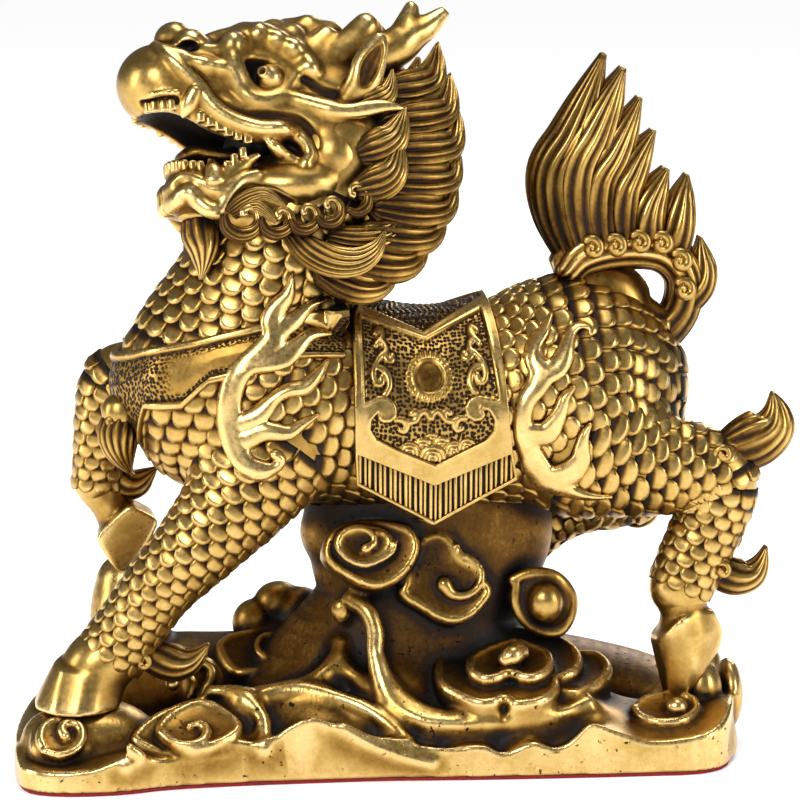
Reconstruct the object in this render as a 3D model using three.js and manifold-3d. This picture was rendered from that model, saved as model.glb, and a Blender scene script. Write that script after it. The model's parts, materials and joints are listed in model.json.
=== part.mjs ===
// A brass figure of a qilin striding over clouds, cast in one piece with its cloud base,
// and the thin red felt glued under the base. Millimetres, +Z up, the head towards -X.
// The origin is the middle of the felt's underside.
import * as THREE from "three";
import { mergeVertices } from "three/addons/utils/BufferGeometryUtils.js";
import Module from "manifold-3d";

// Driving sizes
const HEIGHT = 190; // antler tips above the table
const DRAWN_HEIGHT = 190; // the height that the tables of the figure are drawn for
const FELT_THICK = 0.8;
const FELT_INSET = 0.6;
const BASE_RIM = 7; // height of the plain wall round the base
const BASE_BEVEL = 1.2;
const CLOTH_THICK = 2.6; // saddle cloth over the flank
const CLOTH_FRAME = 1.2; // its raised border over the field
const BAND_THICK = 1.7; // band round the chest
const FLAME_THICK = 2.2; // flames over the shoulder and hip
const HEAD_TURN = 14; // degrees that the head turns towards the -Y side
const HEAD_TILT = 18; // degrees that its crown leans towards the +Y side
const FIGURE_FACETS = 9600;
const SHORT_EDGE_WEIGHT = 0.002; // prefers closing short edges where the surface is flat
const EDGES_A_ROUND = 0.3; // share of the edges that one round may close
const LEAST_ALIKE = 0.35; // cosine between a facet before and after an edge is closed
const LEAST_FACET = 0.01; // twice the area of the smallest facet that is kept

const share = HEIGHT / DRAWN_HEIGHT;
const HEAD_PIVOT = [-22, 0, 145];
const FAR = 60; // half depth of a cutting prism, past both flanks

const wasm = await Module();
wasm.setup();

// Solids and how they join

function closed(position, index) {
  const vertProperties = new Float32Array(position);
  const triVerts = new Uint32Array(index);
  return new wasm.Manifold(new wasm.Mesh({ numProp: 3, vertProperties, triVerts }));
}

function solid(geometry) {
  const bare = geometry.clone();
  bare.deleteAttribute("normal");
  bare.deleteAttribute("uv");
  const merged = mergeVertices(bare, 1e-4);
  return closed(merged.attributes.position.array, merged.index.array);
}

function joined(solids) {
  return solids.flat(Infinity).reduce((whole, next) => whole.add(next));
}

function cornersOf(made) {
  const mesh = made.getMesh();
  const points = [];
  for (let i = 0; i < mesh.vertProperties.length; i += 3)
    points.push(new THREE.Vector3(...mesh.vertProperties.subarray(i, i + 3)));
  const facets = [];
  for (let i = 0; i < mesh.triVerts.length; i += 3)
    facets.push([...mesh.triVerts.subarray(i, i + 3)]);
  return { points, facets };
}

// The same solid, carried through a matrix.
function placed(made, matrix) {
  const { points, facets } = cornersOf(made);
  return closed(
    points.flatMap((point) => point.applyMatrix4(matrix).toArray()),
    facets.flat(),
  );
}

// The casting is solid, so the walls of any pocket that the joined pieces close in are left out.
function withoutPockets({ points, facets }) {
  const shellOf = points.map((_, i) => i);
  const root = (i) => {
    while (shellOf[i] !== i) i = shellOf[i] = shellOf[shellOf[i]];
    return i;
  };
  for (const [a, b, c] of facets) {
    shellOf[root(a)] = root(b);
    shellOf[root(b)] = root(c);
  }
  const volume = new Map();
  const cross = new THREE.Vector3();
  for (const [a, b, c] of facets) {
    const part = points[a].dot(cross.crossVectors(points[b], points[c]));
    volume.set(root(a), (volume.get(root(a)) ?? 0) + part);
  }
  return { points, facets: facets.filter(([a]) => volume.get(root(a)) > 0) };
}

// A sum of squared distances to planes, kept as the ten numbers of its symmetric form.
function planeForm(normal, offset, weight) {
  const p = [normal.x, normal.y, normal.z, offset];
  const form = [];
  for (let i = 0; i < 4; i++)
    for (let j = i; j < 4; j++) form.push(weight * p[i] * p[j]);
  return form;
}

function distanceForm(form, { x, y, z }) {
  const p = [x, y, z, 1];
  let sum = 0;
  let k = 0;
  for (let i = 0; i < 4; i++)
    for (let j = i; j < 4; j++) sum += (i === j ? 1 : 2) * form[k++] * p[i] * p[j];
  return sum;
}

// The same form in fewer facets: edges are closed up, those that move the surface least first,
// wherever the surface stays closed and no facet turns over.
function coarser({ points, facets }, most) {
  const normalOf = (a, b, c) =>
    new THREE.Vector3().crossVectors(b.clone().sub(a), c.clone().sub(a));
  const forms = points.map(() => new Array(10).fill(0));
  for (const [a, b, c] of facets) {
    const normal = normalOf(points[a], points[b], points[c]);
    const area = normal.length();
    if (area < 1e-9) continue;
    normal.divideScalar(area);
    const form = planeForm(normal, -normal.dot(points[a]), area);
    for (const v of [a, b, c]) forms[v] = forms[v].map((value, i) => value + form[i]);
  }
  let live = facets;
  while (live.length > most) {
    const around = points.map(() => []);
    for (const facet of live) for (const v of facet) around[v].push(facet);
    const edges = [];
    for (const [a, b, c] of live)
      for (const [p, q] of [[a, b], [b, c], [c, a]]) {
        if (p > q) continue;
        const form = forms[p].map((value, i) => value + forms[q][i]);
        const middle = points[p].clone().add(points[q]).multiplyScalar(0.5);
        const short = points[p].distanceToSquared(points[q]) * SHORT_EDGE_WEIGHT;
        const spots = [points[p], points[q], middle].map((at) => {
          return { at: at.clone(), cost: distanceForm(form, at) + short };
        });
        spots.sort((u, v) => u.cost - v.cost);
        edges.push({ p, q, form, ...spots[0] });
      }
    edges.sort((u, v) => u.cost - v.cost);
    const settled = new Set();
    const gone = new Set();
    let left = live.length;
    for (const { p, q, form, at } of edges.slice(0, Math.ceil(edges.length * EDGES_A_ROUND))) {
      if (left <= most) break;
      if (settled.has(p) || settled.has(q)) continue;
      const beside = (v) => new Set(around[v].flat().filter((w) => w !== v));
      const besideQ = beside(q);
      const shared = [...beside(p)].filter((w) => besideQ.has(w));
      if (shared.length !== 2) continue;
      const kept = [...around[p], ...around[q]].filter((f) => !(f.includes(p) && f.includes(q)));
      const turnsOver = kept.some((facet) => {
        const before = normalOf(...facet.map((v) => points[v]));
        const after = normalOf(...facet.map((v) => (v === p || v === q ? at : points[v])));
        const level = before.length() * after.length();
        return after.length() < LEAST_FACET || before.dot(after) < LEAST_ALIKE * level;
      });
      if (turnsOver) continue;
      for (const facet of around[p]) if (facet.includes(q)) gone.add(facet);
      for (const facet of around[q]) {
        if (gone.has(facet)) continue;
        facet[facet.indexOf(q)] = p;
      }
      points[p].copy(at);
      forms[p] = form;
      for (const facet of kept) for (const v of facet) settled.add(v);
      left -= 2;
    }
    if (!gone.size) break;
    live = live.filter((facet) => !gone.has(facet));
  }
  return { points, facets: live };
}

function geometryOf({ points, facets }) {
  const geometry = new THREE.BufferGeometry().setFromPoints(points);
  geometry.setIndex(facets.flat());
  const trimmed = mergeVertices(geometry.toNonIndexed(), 1e-5);
  trimmed.computeVertexNormals();
  return trimmed;
}

const LEAST_RADIUS = 0.2;
const ROUND_REACH = 0.8; // how far a rounded end stands out, in its own radii
const FLAT_REACH = 0.3;

// A closed limb through sections [x, y, z, a, b]: a is the half thickness seen from the side,
// b the half width across. Its ends are rounded off by that many rings, or left flat by none.
function limb(sections, { sides = 10, steps = 1, grow = 0, ends = 1 } = {}) {
  const centre = new THREE.CatmullRomCurve3(
    sections.map(([x, y, z]) => new THREE.Vector3(x, y, z).multiplyScalar(share)),
    false,
    "catmullrom",
    0.5,
  );
  const radii = new THREE.CatmullRomCurve3(
    sections.map(([, , , a, b = a]) => new THREE.Vector3(a, b, 0).multiplyScalar(share)),
    false,
    "catmullrom",
    0.5,
  );
  const spans = (sections.length - 1) * steps;
  const stations = Array.from({ length: spans + 1 }, (_, i) => {
    const along = centre.getTangent(i / spans);
    const across = new THREE.Vector3(0, 1, 0);
    across.addScaledVector(along, -across.dot(along)).normalize();
    const up = new THREE.Vector3().crossVectors(along, across);
    const size = radii.getPoint(i / spans);
    const a = Math.max(size.x, LEAST_RADIUS) + grow;
    const b = Math.max(size.y, LEAST_RADIUS) + grow;
    return { at: centre.getPoint(i / spans), along, across, up, a, b };
  });
  const beyond = (station, direction, rise) => {
    const reach = Math.min(station.a, station.b) * ROUND_REACH * direction * rise;
    return station.at.clone().addScaledVector(station.along, reach);
  };
  const rounded = (station, direction) =>
    Array.from({ length: ends }, (_, i) => {
      const rise = Math.sin((((i + 1) / (ends + 1)) * Math.PI) / 2);
      const shrink = Math.sqrt(1 - rise * rise);
      const at = beyond(station, direction, rise);
      return { ...station, at, a: station.a * shrink, b: station.b * shrink };
    });
  const first = stations[0];
  const last = stations[spans];
  const rings = [...rounded(first, -1).reverse(), ...stations, ...rounded(last, 1)];
  const position = [];
  for (const { at, across, up, a, b } of rings)
    for (let j = 0; j < sides; j++) {
      const turn = (j / sides) * Math.PI * 2;
      const point = at
        .clone()
        .addScaledVector(up, a * Math.cos(turn))
        .addScaledVector(across, b * Math.sin(turn));
      position.push(point.x, point.y, point.z);
    }
  const foot = rings.length * sides;
  const tipRise = ends ? 1 : FLAT_REACH;
  position.push(...beyond(first, -1, tipRise).toArray(), ...beyond(last, 1, tipRise).toArray());
  const index = [];
  for (let i = 0; i < rings.length - 1; i++)
    for (let j = 0; j < sides; j++) {
      const k = (j + 1) % sides;
      const [p, q] = [i * sides, (i + 1) * sides];
      index.push(p + j, q + k, q + j, p + j, p + k, q + k);
    }
  const end = (rings.length - 1) * sides;
  for (let j = 0; j < sides; j++) {
    const k = (j + 1) % sides;
    index.push(foot, k, j, foot + 1, end + j, end + k);
  }
  const geometry = new THREE.BufferGeometry();
  geometry.setAttribute("position", new THREE.Float32BufferAttribute(position, 3));
  geometry.setIndex(index);
  return outward(geometry);
}

// The solid of a closed geometry, turned so that its faces point out.
function outward(geometry) {
  const made = solid(geometry);
  if (made.volume() > 0) return made;
  const index = geometry.index.array;
  for (let i = 0; i < index.length; i += 3)
    [index[i + 1], index[i + 2]] = [index[i + 2], index[i + 1]];
  return solid(geometry);
}

function ball([x, y, z, rx, ry = rx, rz = rx], around = 8, over = 6) {
  const geometry = new THREE.SphereGeometry(1, around, over);
  geometry.rotateX(Math.PI / 2);
  geometry.scale(rx * share, ry * share, rz * share);
  geometry.translate(x * share, y * share, z * share);
  return solid(geometry);
}

// A lock of hair: full near its root and drawn out to a point. width is seen from the side.
function lock(points, width, thick, sides = 4) {
  const full = [0.7, 1, 0.9, 0.6, 0.16];
  const curve = new THREE.CatmullRomCurve3(points.map((p) => new THREE.Vector3(...p)));
  const sections = full.map((part, i) => {
    const p = curve.getPoint(i / (full.length - 1));
    return [p.x, p.y, p.z, width * part, thick * (0.3 + 0.7 * part)];
  });
  return limb(sections, { sides, ends: 0 });
}

// The same piece on both sides of the head or body: make is given the side, -1 or 1.
function pair(make) {
  return [make(-1), make(1)];
}

const mirrored = (rows, side) => rows.map(([x, y, z, ...rest]) => [x, -side * y, z, ...rest]);

// A prism across the figure whose outline is drawn in x and z, seen from the side.
function prism(outline, low = -FAR, high = FAR) {
  const shape = new THREE.Shape(
    outline.map(([x, z]) => new THREE.Vector2(x, z).multiplyScalar(share)),
  );
  const geometry = new THREE.ExtrudeGeometry(shape, { depth: high - low, bevelEnabled: false });
  geometry.rotateX(Math.PI / 2);
  geometry.translate(0, high, 0);
  return solid(geometry);
}

// Body: trunk, neck and legs, as sections [x, y, z, half height, half width]

const TRUNK = [
  [-58, 0, 94.5, 15.5, 13],
  [-49, 0, 93.5, 24.5, 21],
  [-34.5, 0, 91.5, 27.5, 25.5],
  [-15, 0, 87, 25, 25],
  [7.5, 0, 84.4, 24.4, 24],
  [29, 0, 87, 25.6, 25],
  [44, 0, 90, 28, 25],
  [56, 0, 90, 20, 18.5],
  [61, 0, 89.5, 11.5, 11],
];
const NECK = [
  [-40, 0, 102, 23, 21],
  [-34, -0.5, 116, 21, 19.5],
  [-27.5, -1, 128.5, 18.5, 17.5],
  [-21.5, -1, 140.5, 17, 16.5],
  [-16, -1, 150.5, 14.5, 15],
];
const NEAR_FORELEG = [
  [-33, -15, 80, 16, 12],
  [-41.5, -18, 68, 12.5, 10],
  [-52, -20, 56, 9.8, 9],
  [-61, -20, 46.5, 8.4, 8.2],
  [-68, -20, 37, 8, 8],
  [-73, -20, 30, 8.3, 8.3],
];
const NEAR_FOREHOOF = [
  [-73.5, -20, 29, 8.4, 8.4],
  [-78, -20, 22.5, 11, 10],
  [-82, -20, 14, 12, 11.5],
];
const FAR_FORELEG = [
  [-46, 11, 81, 13, 11],
  [-59, 16, 87.5, 11, 9.5],
  [-68.5, 18.5, 91, 9.3, 8.2],
  [-72.4, 19, 83, 7.6, 7.5],
  [-74.3, 19, 73, 6.4, 7],
  [-75.2, 19, 64.5, 6, 6.5],
];
const FAR_FOREHOOF = [
  [-75.2, 19, 64, 5.8, 6],
  [-73.2, 19, 58, 4.2, 5.2],
  [-71.2, 19, 55.2, 6.7, 7],
  [-67.6, 19, 51.2, 7.8, 8],
  [-65.1, 19, 47.9, 8.4, 8],
];
const NEAR_HINDLEG = [
  [44.5, -14, 79, 19, 12],
  [57.5, -18, 74, 13, 9.5],
  [70.5, -19, 72.5, 10.5, 8.2],
  [78, -19, 69.5, 9, 7.6],
  [76, -19, 60.5, 8.5, 7.2],
  [72, -19, 51.5, 8.2, 7.2],
  [68, -19, 42, 7.8, 7.5],
];
const NEAR_HINDHOOF = [
  [68, -19, 41.5, 7.4, 7.2],
  [68.8, -19, 34.5, 6.8, 6.8],
  [72.3, -19, 28, 11, 9],
  [72.2, -19, 20, 9.5, 9],
  [70.5, -19, 12, 6.5, 7],
];
const FAR_HINDLEG = [
  [42.5, 13, 76, 18, 12],
  [54, 18, 64, 11, 9],
  [62, 19, 57.5, 7, 7],
  [52, 19, 56, 6.5, 7],
  [41, 19, 52, 6.5, 7],
  [31, 20, 43, 6.5, 7],
];
const FAR_HINDHOOF = [
  [30, 20, 41, 6.5, 7],
  [27, 20, 32, 8, 8.5],
  [25.5, 20, 24, 9.5, 9.5],
];

const scaledLimbs = (grow) => [
  limb(TRUNK, { sides: 16, ends: 2, grow }),
  limb(NECK, { sides: 12, grow }),
  limb(NEAR_FORELEG, { sides: 8, grow }),
  limb(NEAR_HINDLEG, { sides: 8, grow }),
];

// The tufts of hair behind the joints of the legs: root, middle and tip, then width and thickness
const TUFTS = [
  { points: [[77, -19, 76], [87, -19, 80], [91, -19, 90]], width: 8, thick: 5 },
  { points: [[74, -19, 47], [82, -19, 44.5], [89.5, -19, 52]], width: 4.5, thick: 4 },
  { points: [[-68, -20, 31], [-59, -20, 27], [-50, -20, 31]], width: 4.5, thick: 4 },
  { points: [[59, 19, 57], [65, 19, 54], [70, 19, 57]], width: 5, thick: 4 },
  { points: [[-73, 19, 67], [-66, 19, 64], [-60, 19, 68]], width: 4.5, thick: 4 },
];

function body() {
  const far = [FAR_FORELEG, FAR_HINDLEG].map((rows) => limb(rows, { sides: 8 }));
  const hooves = [NEAR_FOREHOOF, FAR_FOREHOOF, NEAR_HINDHOOF, FAR_HINDHOOF].map((rows) =>
    limb(rows, { sides: 8 }),
  );
  const tufts = TUFTS.map(({ points, width, thick }) => lock(points, width, thick));
  return joined([scaledLimbs(0), far, hooves, tufts]);
}

// Dress: the chest band and saddle cloth, cut from a thicker copy of the trunk, and the flames

const CLOTH = {
  outline: [[-14.5, 125], [-15, 73], [6.5, 59.5], [27, 72.5], [22.5, 125]],
  frame: [[-11, 106], [-11, 76.5], [6, 66], [23, 76], [20.5, 106], [5, 97.5]],
  sun: [4.2, 92, 4.6],
};
const BAND = [
  [-72, 98], [-66, 101], [-51, 107.5], [-39, 111], [-16, 114],
  [-16, 104], [-39, 102], [-42, 98], [-49.5, 96.5], [-55, 90], [-63, 89], [-66, 79], [-72, 77],
];
const SHOULDER_FLAME = [
  [[-32, 75.5, 2.6], [-40, 74.5, 4], [-44.5, 83, 4], [-44, 92, 3.8], [-37, 101, 4.4],
    [-33.5, 107, 4.6], [-30.5, 113.5, 2.6], [-27, 121.5, 0.5]],
  [[-33.5, 106, 3.2], [-26.5, 109, 2.2], [-22.5, 112.5, 1.6], [-17.5, 114, 0.5]],
  [[-36.5, 101.5, 3.6], [-27.5, 102.3, 3.4], [-22.5, 105, 2.4], [-17.5, 106, 0.6]],
  [[-43, 88.5, 2.4], [-31, 91.5, 2.4], [-22.5, 96, 2.2], [-18, 100.5, 0.5]],
  [[-42, 83, 3], [-30, 83, 2.2], [-24, 85, 1.7], [-19.5, 85.5, 0.5]],
  [[-40, 75.5, 3.4], [-34, 73.5, 2.4], [-31.8, 76.5, 1.8], [-34.8, 78.6, 1.2]],
];
const HIP_FLAME = [
  [[32.5, 105.5, 2.6], [28, 95.5, 3], [25.3, 88, 3.6], [27, 77, 4], [32.5, 69.8, 3.6],
    [40, 66.3, 2], [49, 67.5, 0.4]],
  [[29, 99.5, 2.6], [32.5, 106, 2.4], [36.5, 112, 0.6]],
  [[30.5, 96.5, 3], [37, 101.5, 2.6], [40.3, 107.3, 1.8], [45, 108, 0.5]],
  [[28, 83, 3], [34, 86.5, 2.2], [36.5, 91, 1.6], [39.3, 95.5, 0.4]],
  [[31, 72.5, 3.4], [38.5, 75, 2.4], [40.5, 82, 1.5], [43.5, 86.3, 0.4]],
];

const ring = (x, z, radius, count) =>
  Array.from({ length: count }, (_, i) => {
    const turn = (i / count) * Math.PI * 2;
    return [x + radius * Math.cos(turn), z + radius * Math.sin(turn)];
  });

// How far the flank stands out from the middle plane at a point of the side view.
function flankAt(x, z) {
  const next = Math.max(1, TRUNK.findIndex((row) => row[0] > x));
  const [before, after] = [TRUNK[next - 1], TRUNK[next]];
  const part = (x - before[0]) / (after[0] - before[0]);
  const [, , middle, high, wide] = before.map((value, i) => value + (after[i] - value) * part);
  const trunk = wide * Math.sqrt(Math.max(0, 1 - ((z - middle) / high) ** 2));
  const thighs = [...NEAR_FORELEG.slice(0, 2), ...NEAR_HINDLEG.slice(0, 3)].map(
    ([cx, cy, cz, a, b]) => {
      const off = ((x - cx) ** 2 + (z - cz) ** 2) / a ** 2;
      return off < 1 ? -cy + b * Math.sqrt(1 - off) : 0;
    },
  );
  return Math.max(trunk, ...thighs);
}

// A tongue of flame, drawn in x and z as centre points with half widths: [x, z, half].
function flame(rows, side) {
  const sections = rows.map(([x, z, half]) => [x, side * flankAt(x, z), z, half, FLAME_THICK]);
  return limb(sections, { sides: 6, ends: 0 });
}

function dress() {
  const flank = (grow) => limb(TRUNK, { sides: 16, ends: 2, grow: grow * share });
  const cloth = flank(CLOTH_THICK).intersect(prism(CLOTH.outline));
  const [sunX, sunZ, sunRadius] = CLOTH.sun;
  const cutAway = prism(CLOTH.frame).subtract(prism(ring(sunX, sunZ, sunRadius, 14)));
  const frame = flank(CLOTH_THICK + CLOTH_FRAME)
    .intersect(prism(CLOTH.outline))
    .subtract(cutAway);
  const chest = joined(scaledLimbs(BAND_THICK * share).slice(0, 2));
  const band = chest.intersect(prism(BAND));
  const flames = pair((side) => [...SHOULDER_FLAME, ...HIP_FLAME].map((rows) => flame(rows, side)));
  return joined([cloth, frame, band, flames]);
}

const TASSEL_KNOT = [-70, -4, 88, 4.6, 4.6, 3.6];
const TASSEL_STRANDS = [
  [-70, -4, 86, 3.8, 4.2],
  [-70.5, -4.5, 80, 5.2, 5.2],
  [-68, -4, 72, 1.2, 1.2],
];

const tassel = () => [ball(TASSEL_KNOT), limb(TASSEL_STRANDS, { sides: 8 })];

// Tail: a stem that bends up off the rump, curls along its bend, and locks that rise from them

const TAIL_STEM = [
  [58, 0, 98, 6, 6],
  [65, 0, 102.5, 5.4, 6.5],
  [70.6, 0, 109, 5, 6.5],
  [71.5, 0, 118, 5.2, 7],
  [66, 0, 124.5, 6, 7.5],
  [56, 0, 126, 6.5, 8],
  [46, 0, 124, 6.5, 8],
  [41, 0, 119, 5, 7],
];
const TAIL_ROOT = [
  [46, 0, 111, 8, 8],
  [57, 0, 107.5, 6, 7],
  [67, 0, 105.5, 5, 6.5],
];
const TAIL_LOCKS = [
  { points: [[44, 0, 122], [37.8, 0, 141], [44, 0, 156], [50.6, 0, 173.5]], width: 6.8, thick: 7 },
  { points: [[47, -3, 124], [44, -3, 143], [49.5, -3, 156], [55, -1.5, 170]], width: 6, thick: 5 },
  { points: [[51, -3.5, 125], [49, -3.5, 140], [54.5, -3, 151], [59.5, -1.5, 162]], width: 5, thick: 5 },
  { points: [[56, -3.5, 127], [55, -4, 138], [58.5, -3, 146], [63, -1.5, 153.5]], width: 4.6, thick: 5 },
  { points: [[62, -3.5, 126], [61.8, -3.5, 134], [66.3, -2.5, 144]], width: 4.6, thick: 5 },
  { points: [[68, -3, 122], [69.5, -3, 129], [70.5, -2, 136], [71.6, -1, 142.5]], width: 4.2, thick: 4.5 },
  { points: [[71, -2.5, 110], [76, -2, 117], [75.5, -1, 127]], width: 3.4, thick: 4 },
];
const TAIL_CURL = { aside: 5.5, radius: 2.6, wide: 3 };
const TAIL_CURLS = [[47, 125.5], [53, 126], [58.8, 127], [64.5, 126.5], [69.5, 122], [70.5, 115]];

function tail() {
  const locks = TAIL_LOCKS.flatMap(({ points, width, thick }) =>
    pair((side) => lock(mirrored(points, side), width, thick)),
  );
  const curls = TAIL_CURLS.flatMap(([x, z]) =>
    pair((side) => {
      const { aside, radius, wide } = TAIL_CURL;
      return ball([x, side * aside, z, radius, wide, radius], 6, 4);
    }),
  );
  const stems = [TAIL_STEM, TAIL_ROOT].map((rows) => limb(rows, { sides: 8 }));
  return [stems, locks, curls];
}

// Head, drawn facing -X and symmetric about y = 0, then turned to the side

const UPPER_JAW = [
  [-22.5, 0, 162, 14, 14.5],
  [-35.5, 0, 166, 12.5, 13.5],
  [-46, 0, 168.5, 10.5, 12.5],
  [-55, 0, 170.5, 9, 11.5],
  [-62.5, 0, 169.5, 8.8, 10.5],
];
const LOWER_JAW = [
  [-24.5, 0, 146, 10, 14.5],
  [-37, 0, 142.5, 8, 13.5],
  [-47, 0, 140, 6.5, 12],
  [-53, 0, 140, 6, 10.5],
];
const PALATE = [
  [-66, 0, 158, 3, 6.5],
  [-55, 0, 160, 5.5, 8.5],
  [-42, 0, 155, 5.5, 9.5],
];
const MOUTH_FLOOR = [
  [-59, 0, 147.5, 3, 6.5],
  [-46, 0, 147.5, 3.5, 9],
];
const TONGUE = [
  [-55, 0, 149.5, 1.6, 4.5],
  [-50, 0, 148.5, 2.6, 6],
  [-42, 0, 147.5, 3.4, 7],
  [-32, 0, 149.5, 4, 7],
];
const THROAT = [-30, 0, 153, 9, 12, 10];
// Rolls and ridges of the face, listed for the -Y side
const FACE_ROLLS = {
  brow: [[-40, -8.5, 171, 2.8], [-36, -9.5, 175.5, 4.2], [-29, -11, 175.5, 4.2], [-24, -12.5, 170, 3]],
  whisker: [
    [-51, -10.5, 169, 1.8], [-40.5, -13.5, 161.5, 2.4], [-31, -16, 161.3, 2.4],
    [-22, -18.5, 157.5, 2.4], [-13, -20, 156.5, 2.4], [-3.5, -21, 155, 0.8],
  ],
  upperLip: [
    [-61, -9.5, 172.5, 2], [-56, -12, 166.5, 2.6], [-51.5, -12.5, 159.5, 2.6],
    [-45, -13.5, 154.2, 2.6], [-37, -15.5, 152.2, 2.6], [-30, -17, 150.5, 2.8],
    [-27.8, -17.8, 146.2, 2.6], [-33, -17, 143.2, 1.8],
  ],
  cornerLeaf: [[-38, -14, 151, 2.4], [-33.5, -15.5, 147.2, 3], [-29, -16, 144.2, 1]],
  lowerLip: [
    [-58.2, -6, 141.4, 2.2], [-55.5, -11, 141.8, 2.6], [-51, -12, 137.8, 2.8], [-45, -13.2, 143, 2.6],
    [-38.5, -14.5, 147, 1.6],
  ],
  chinRoll: [[-57, -5, 136.5, 3], [-53.5, -11.5, 135.2, 3.4], [-49, -12.5, 134, 3.2], [-38, -14.5, 140.8, 2]],
};
const SKULL = [-16.5, 0, 159, 17, 16.5, 16.5];
const NOSE = [-52.5, 0, 178, 5.6, 6.5, 5.4];
const CREST = [
  [-48, 0, 175.5, 3, 4],
  [-42.5, 0, 176.5, 4, 5],
  [-35, 0, 178, 4.4, 6],
  [-27, 0, 178.5, 4.6, 7],
  [-18, 0, 176.5, 6.5, 8],
];
const FACE_PAIRS = {
  nostril: [-51.5, -6.8, 174.8, 4.2, 3.4, 3.8],
  eye: [-34.6, -12.4, 167, 3.8, 3.2, 3.8],
  cheek: [-18, -9.5, 150, 11, 9.5, 12.5],
};
const EYE_SOCKET = [-36.5, -14.8, 167.5, 6.5, 4.5, 5.5];
const CANINES = [
  [[-54.5, -10.2, 166, 2.6], [-55.9, -10.5, 157.8, 0.8]],
  [[-50.2, -11, 140, 2.4], [-50.4, -10, 147.8, 0.5]],
  [[-64, 0, 168, 1.6], [-65, 0, 158.8, 0.8]],
];
const TOOTH = { wide: 2.1, tall: 6, thick: 2.4 };
const TEETH = [
  [-63, -2.5, 164.3], [-61.8, -4.5, 164], [-60.6, -6.5, 163.8], [-59.3, -8, 163.5],
  [-52.3, -11, 160.2], [-50, -11.5, 158.4], [-48, -12, 156.8], [-46.2, -12.5, 155.2],
  [-44, -13, 153.6], [-58.4, -1.4, 145.4], [-57.5, -3.6, 145], [-56.7, -5.7, 144.3],
  [-55.6, -7.6, 143.6], [-47.2, -11.5, 143.2], [-45.2, -12, 144.8], [-43.2, -13, 145.8],
];
const JAW_CURLS = [[-45, -12, 131], [-35, -14.5, 131], [-27, -16.5, 131], [-19.5, -17.5, 134]];
const JAW_CURL = { radius: 3.8, wide: 4 };
const BEARD = { points: [[-53, 0, 138], [-53, 0, 131], [-51.8, 0, 119.5]], width: 5, thick: 5 };
const BEARD_KNOT = [-53, 0, 138, 3.8];
const MANE = [
  { points: [[-6.5, -15, 159], [3, -13, 163], [12.8, -6.5, 174]], width: 5, thick: 5 },
  { points: [[-7.5, -16, 151.5], [4, -14, 154.5], [14.2, -7.5, 163.6]], width: 5, thick: 5 },
  { points: [[-8.5, -17, 144], [4, -15, 146.3], [14, -8.5, 155]], width: 5, thick: 5 },
  { points: [[-10.5, -17, 136.5], [2.5, -15, 137.5], [12, -8.5, 146.8]], width: 5, thick: 5 },
  { points: [[-13, -17, 130.5], [0, -15, 131], [10, -8.5, 139]], width: 5, thick: 5 },
  { points: [[-16, -16, 124.5], [-3.5, -14, 125.3], [6.4, -8.5, 133]], width: 5, thick: 5 },
  { points: [[-21, -15, 119.6], [-9, -13, 119.5], [1.6, -8, 127.5]], width: 4.6, thick: 5 },
  { points: [[-26.7, -12, 118], [-17.5, -11, 115], [-6.5, -7, 119.6]], width: 4.2, thick: 5 },
  { points: [[-16, -17.5, 144], [-9.5, -19, 147], [-3.5, -19.5, 155.2]], width: 4.6, thick: 3 },
  { points: [[-17, -17.5, 135.5], [-10.5, -19, 137.5], [-6, -19.5, 146.5]], width: 4.6, thick: 3 },
  { points: [[-14, -15.5, 156.5], [-7.5, -17, 158.5], [-3, -16.5, 163.5]], width: 3, thick: 2.6 },
  { points: [[-33, -13, 128], [-24.5, -17.5, 118], [-11, -18, 126]], width: 5.4, thick: 4 },
];
const MANE_CORE = [
  [0, 0, 165, 7, 9],
  [-0.5, 0, 149.5, 10, 13],
  [-6, 0, 134.5, 10, 13],
  [-17, 0, 122, 7, 10],
];
const ANTLER = [
  [[-19.5, -7.5, 169, 5.6], [-12, -9, 172, 5.2], [-4.5, -10, 171.5, 5.4], [1.5, -11, 173.5, 4.8],
    [2.3, -11.5, 178.4, 3.2], [4, -12, 182.6, 2]],
  [[0.5, -11, 173.8, 4.6], [7.4, -12, 177.2, 3.4], [12.3, -12.5, 181.2, 2]],
  [[-12, -9.5, 172.6, 4.6], [-7.5, -10.5, 178, 4.4]],
];
const EAR = [
  [-18.5, -14.5, 158, 3, 2.6],
  [-13, -17.5, 164.5, 5, 3],
  [-8.8, -19, 169, 4.2, 2.4],
  [-6, -19.5, 173.5, 0.8, 0.8],
];
const EAR_HOLLOW = [
  [-13, -20.5, 163.5, 2, 1.4],
  [-9.6, -21.5, 168.3, 2.2, 1.4],
  [-7.6, -21.5, 171.3, 0.6, 0.6],
];

function tooth([x, y, z]) {
  const block = new THREE.BoxGeometry(TOOTH.wide, TOOTH.thick, TOOTH.tall);
  block.translate(x, y, z).scale(share, share, share);
  return solid(block);
}

function jaws() {
  const upper = limb(UPPER_JAW, { sides: 10 }).subtract(limb(PALATE, { sides: 6 }));
  const lower = limb(LOWER_JAW, { sides: 10 }).subtract(limb(MOUTH_FLOOR, { sides: 6 }));
  const teeth = pair((side) => [
    CANINES.map((rows) => limb(mirrored(rows, side), { sides: 4, ends: 0 })),
    mirrored(TEETH, side).map(tooth),
  ]);
  return [upper, lower, teeth, ball(THROAT), limb(TONGUE, { sides: 6 })];
}

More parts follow.
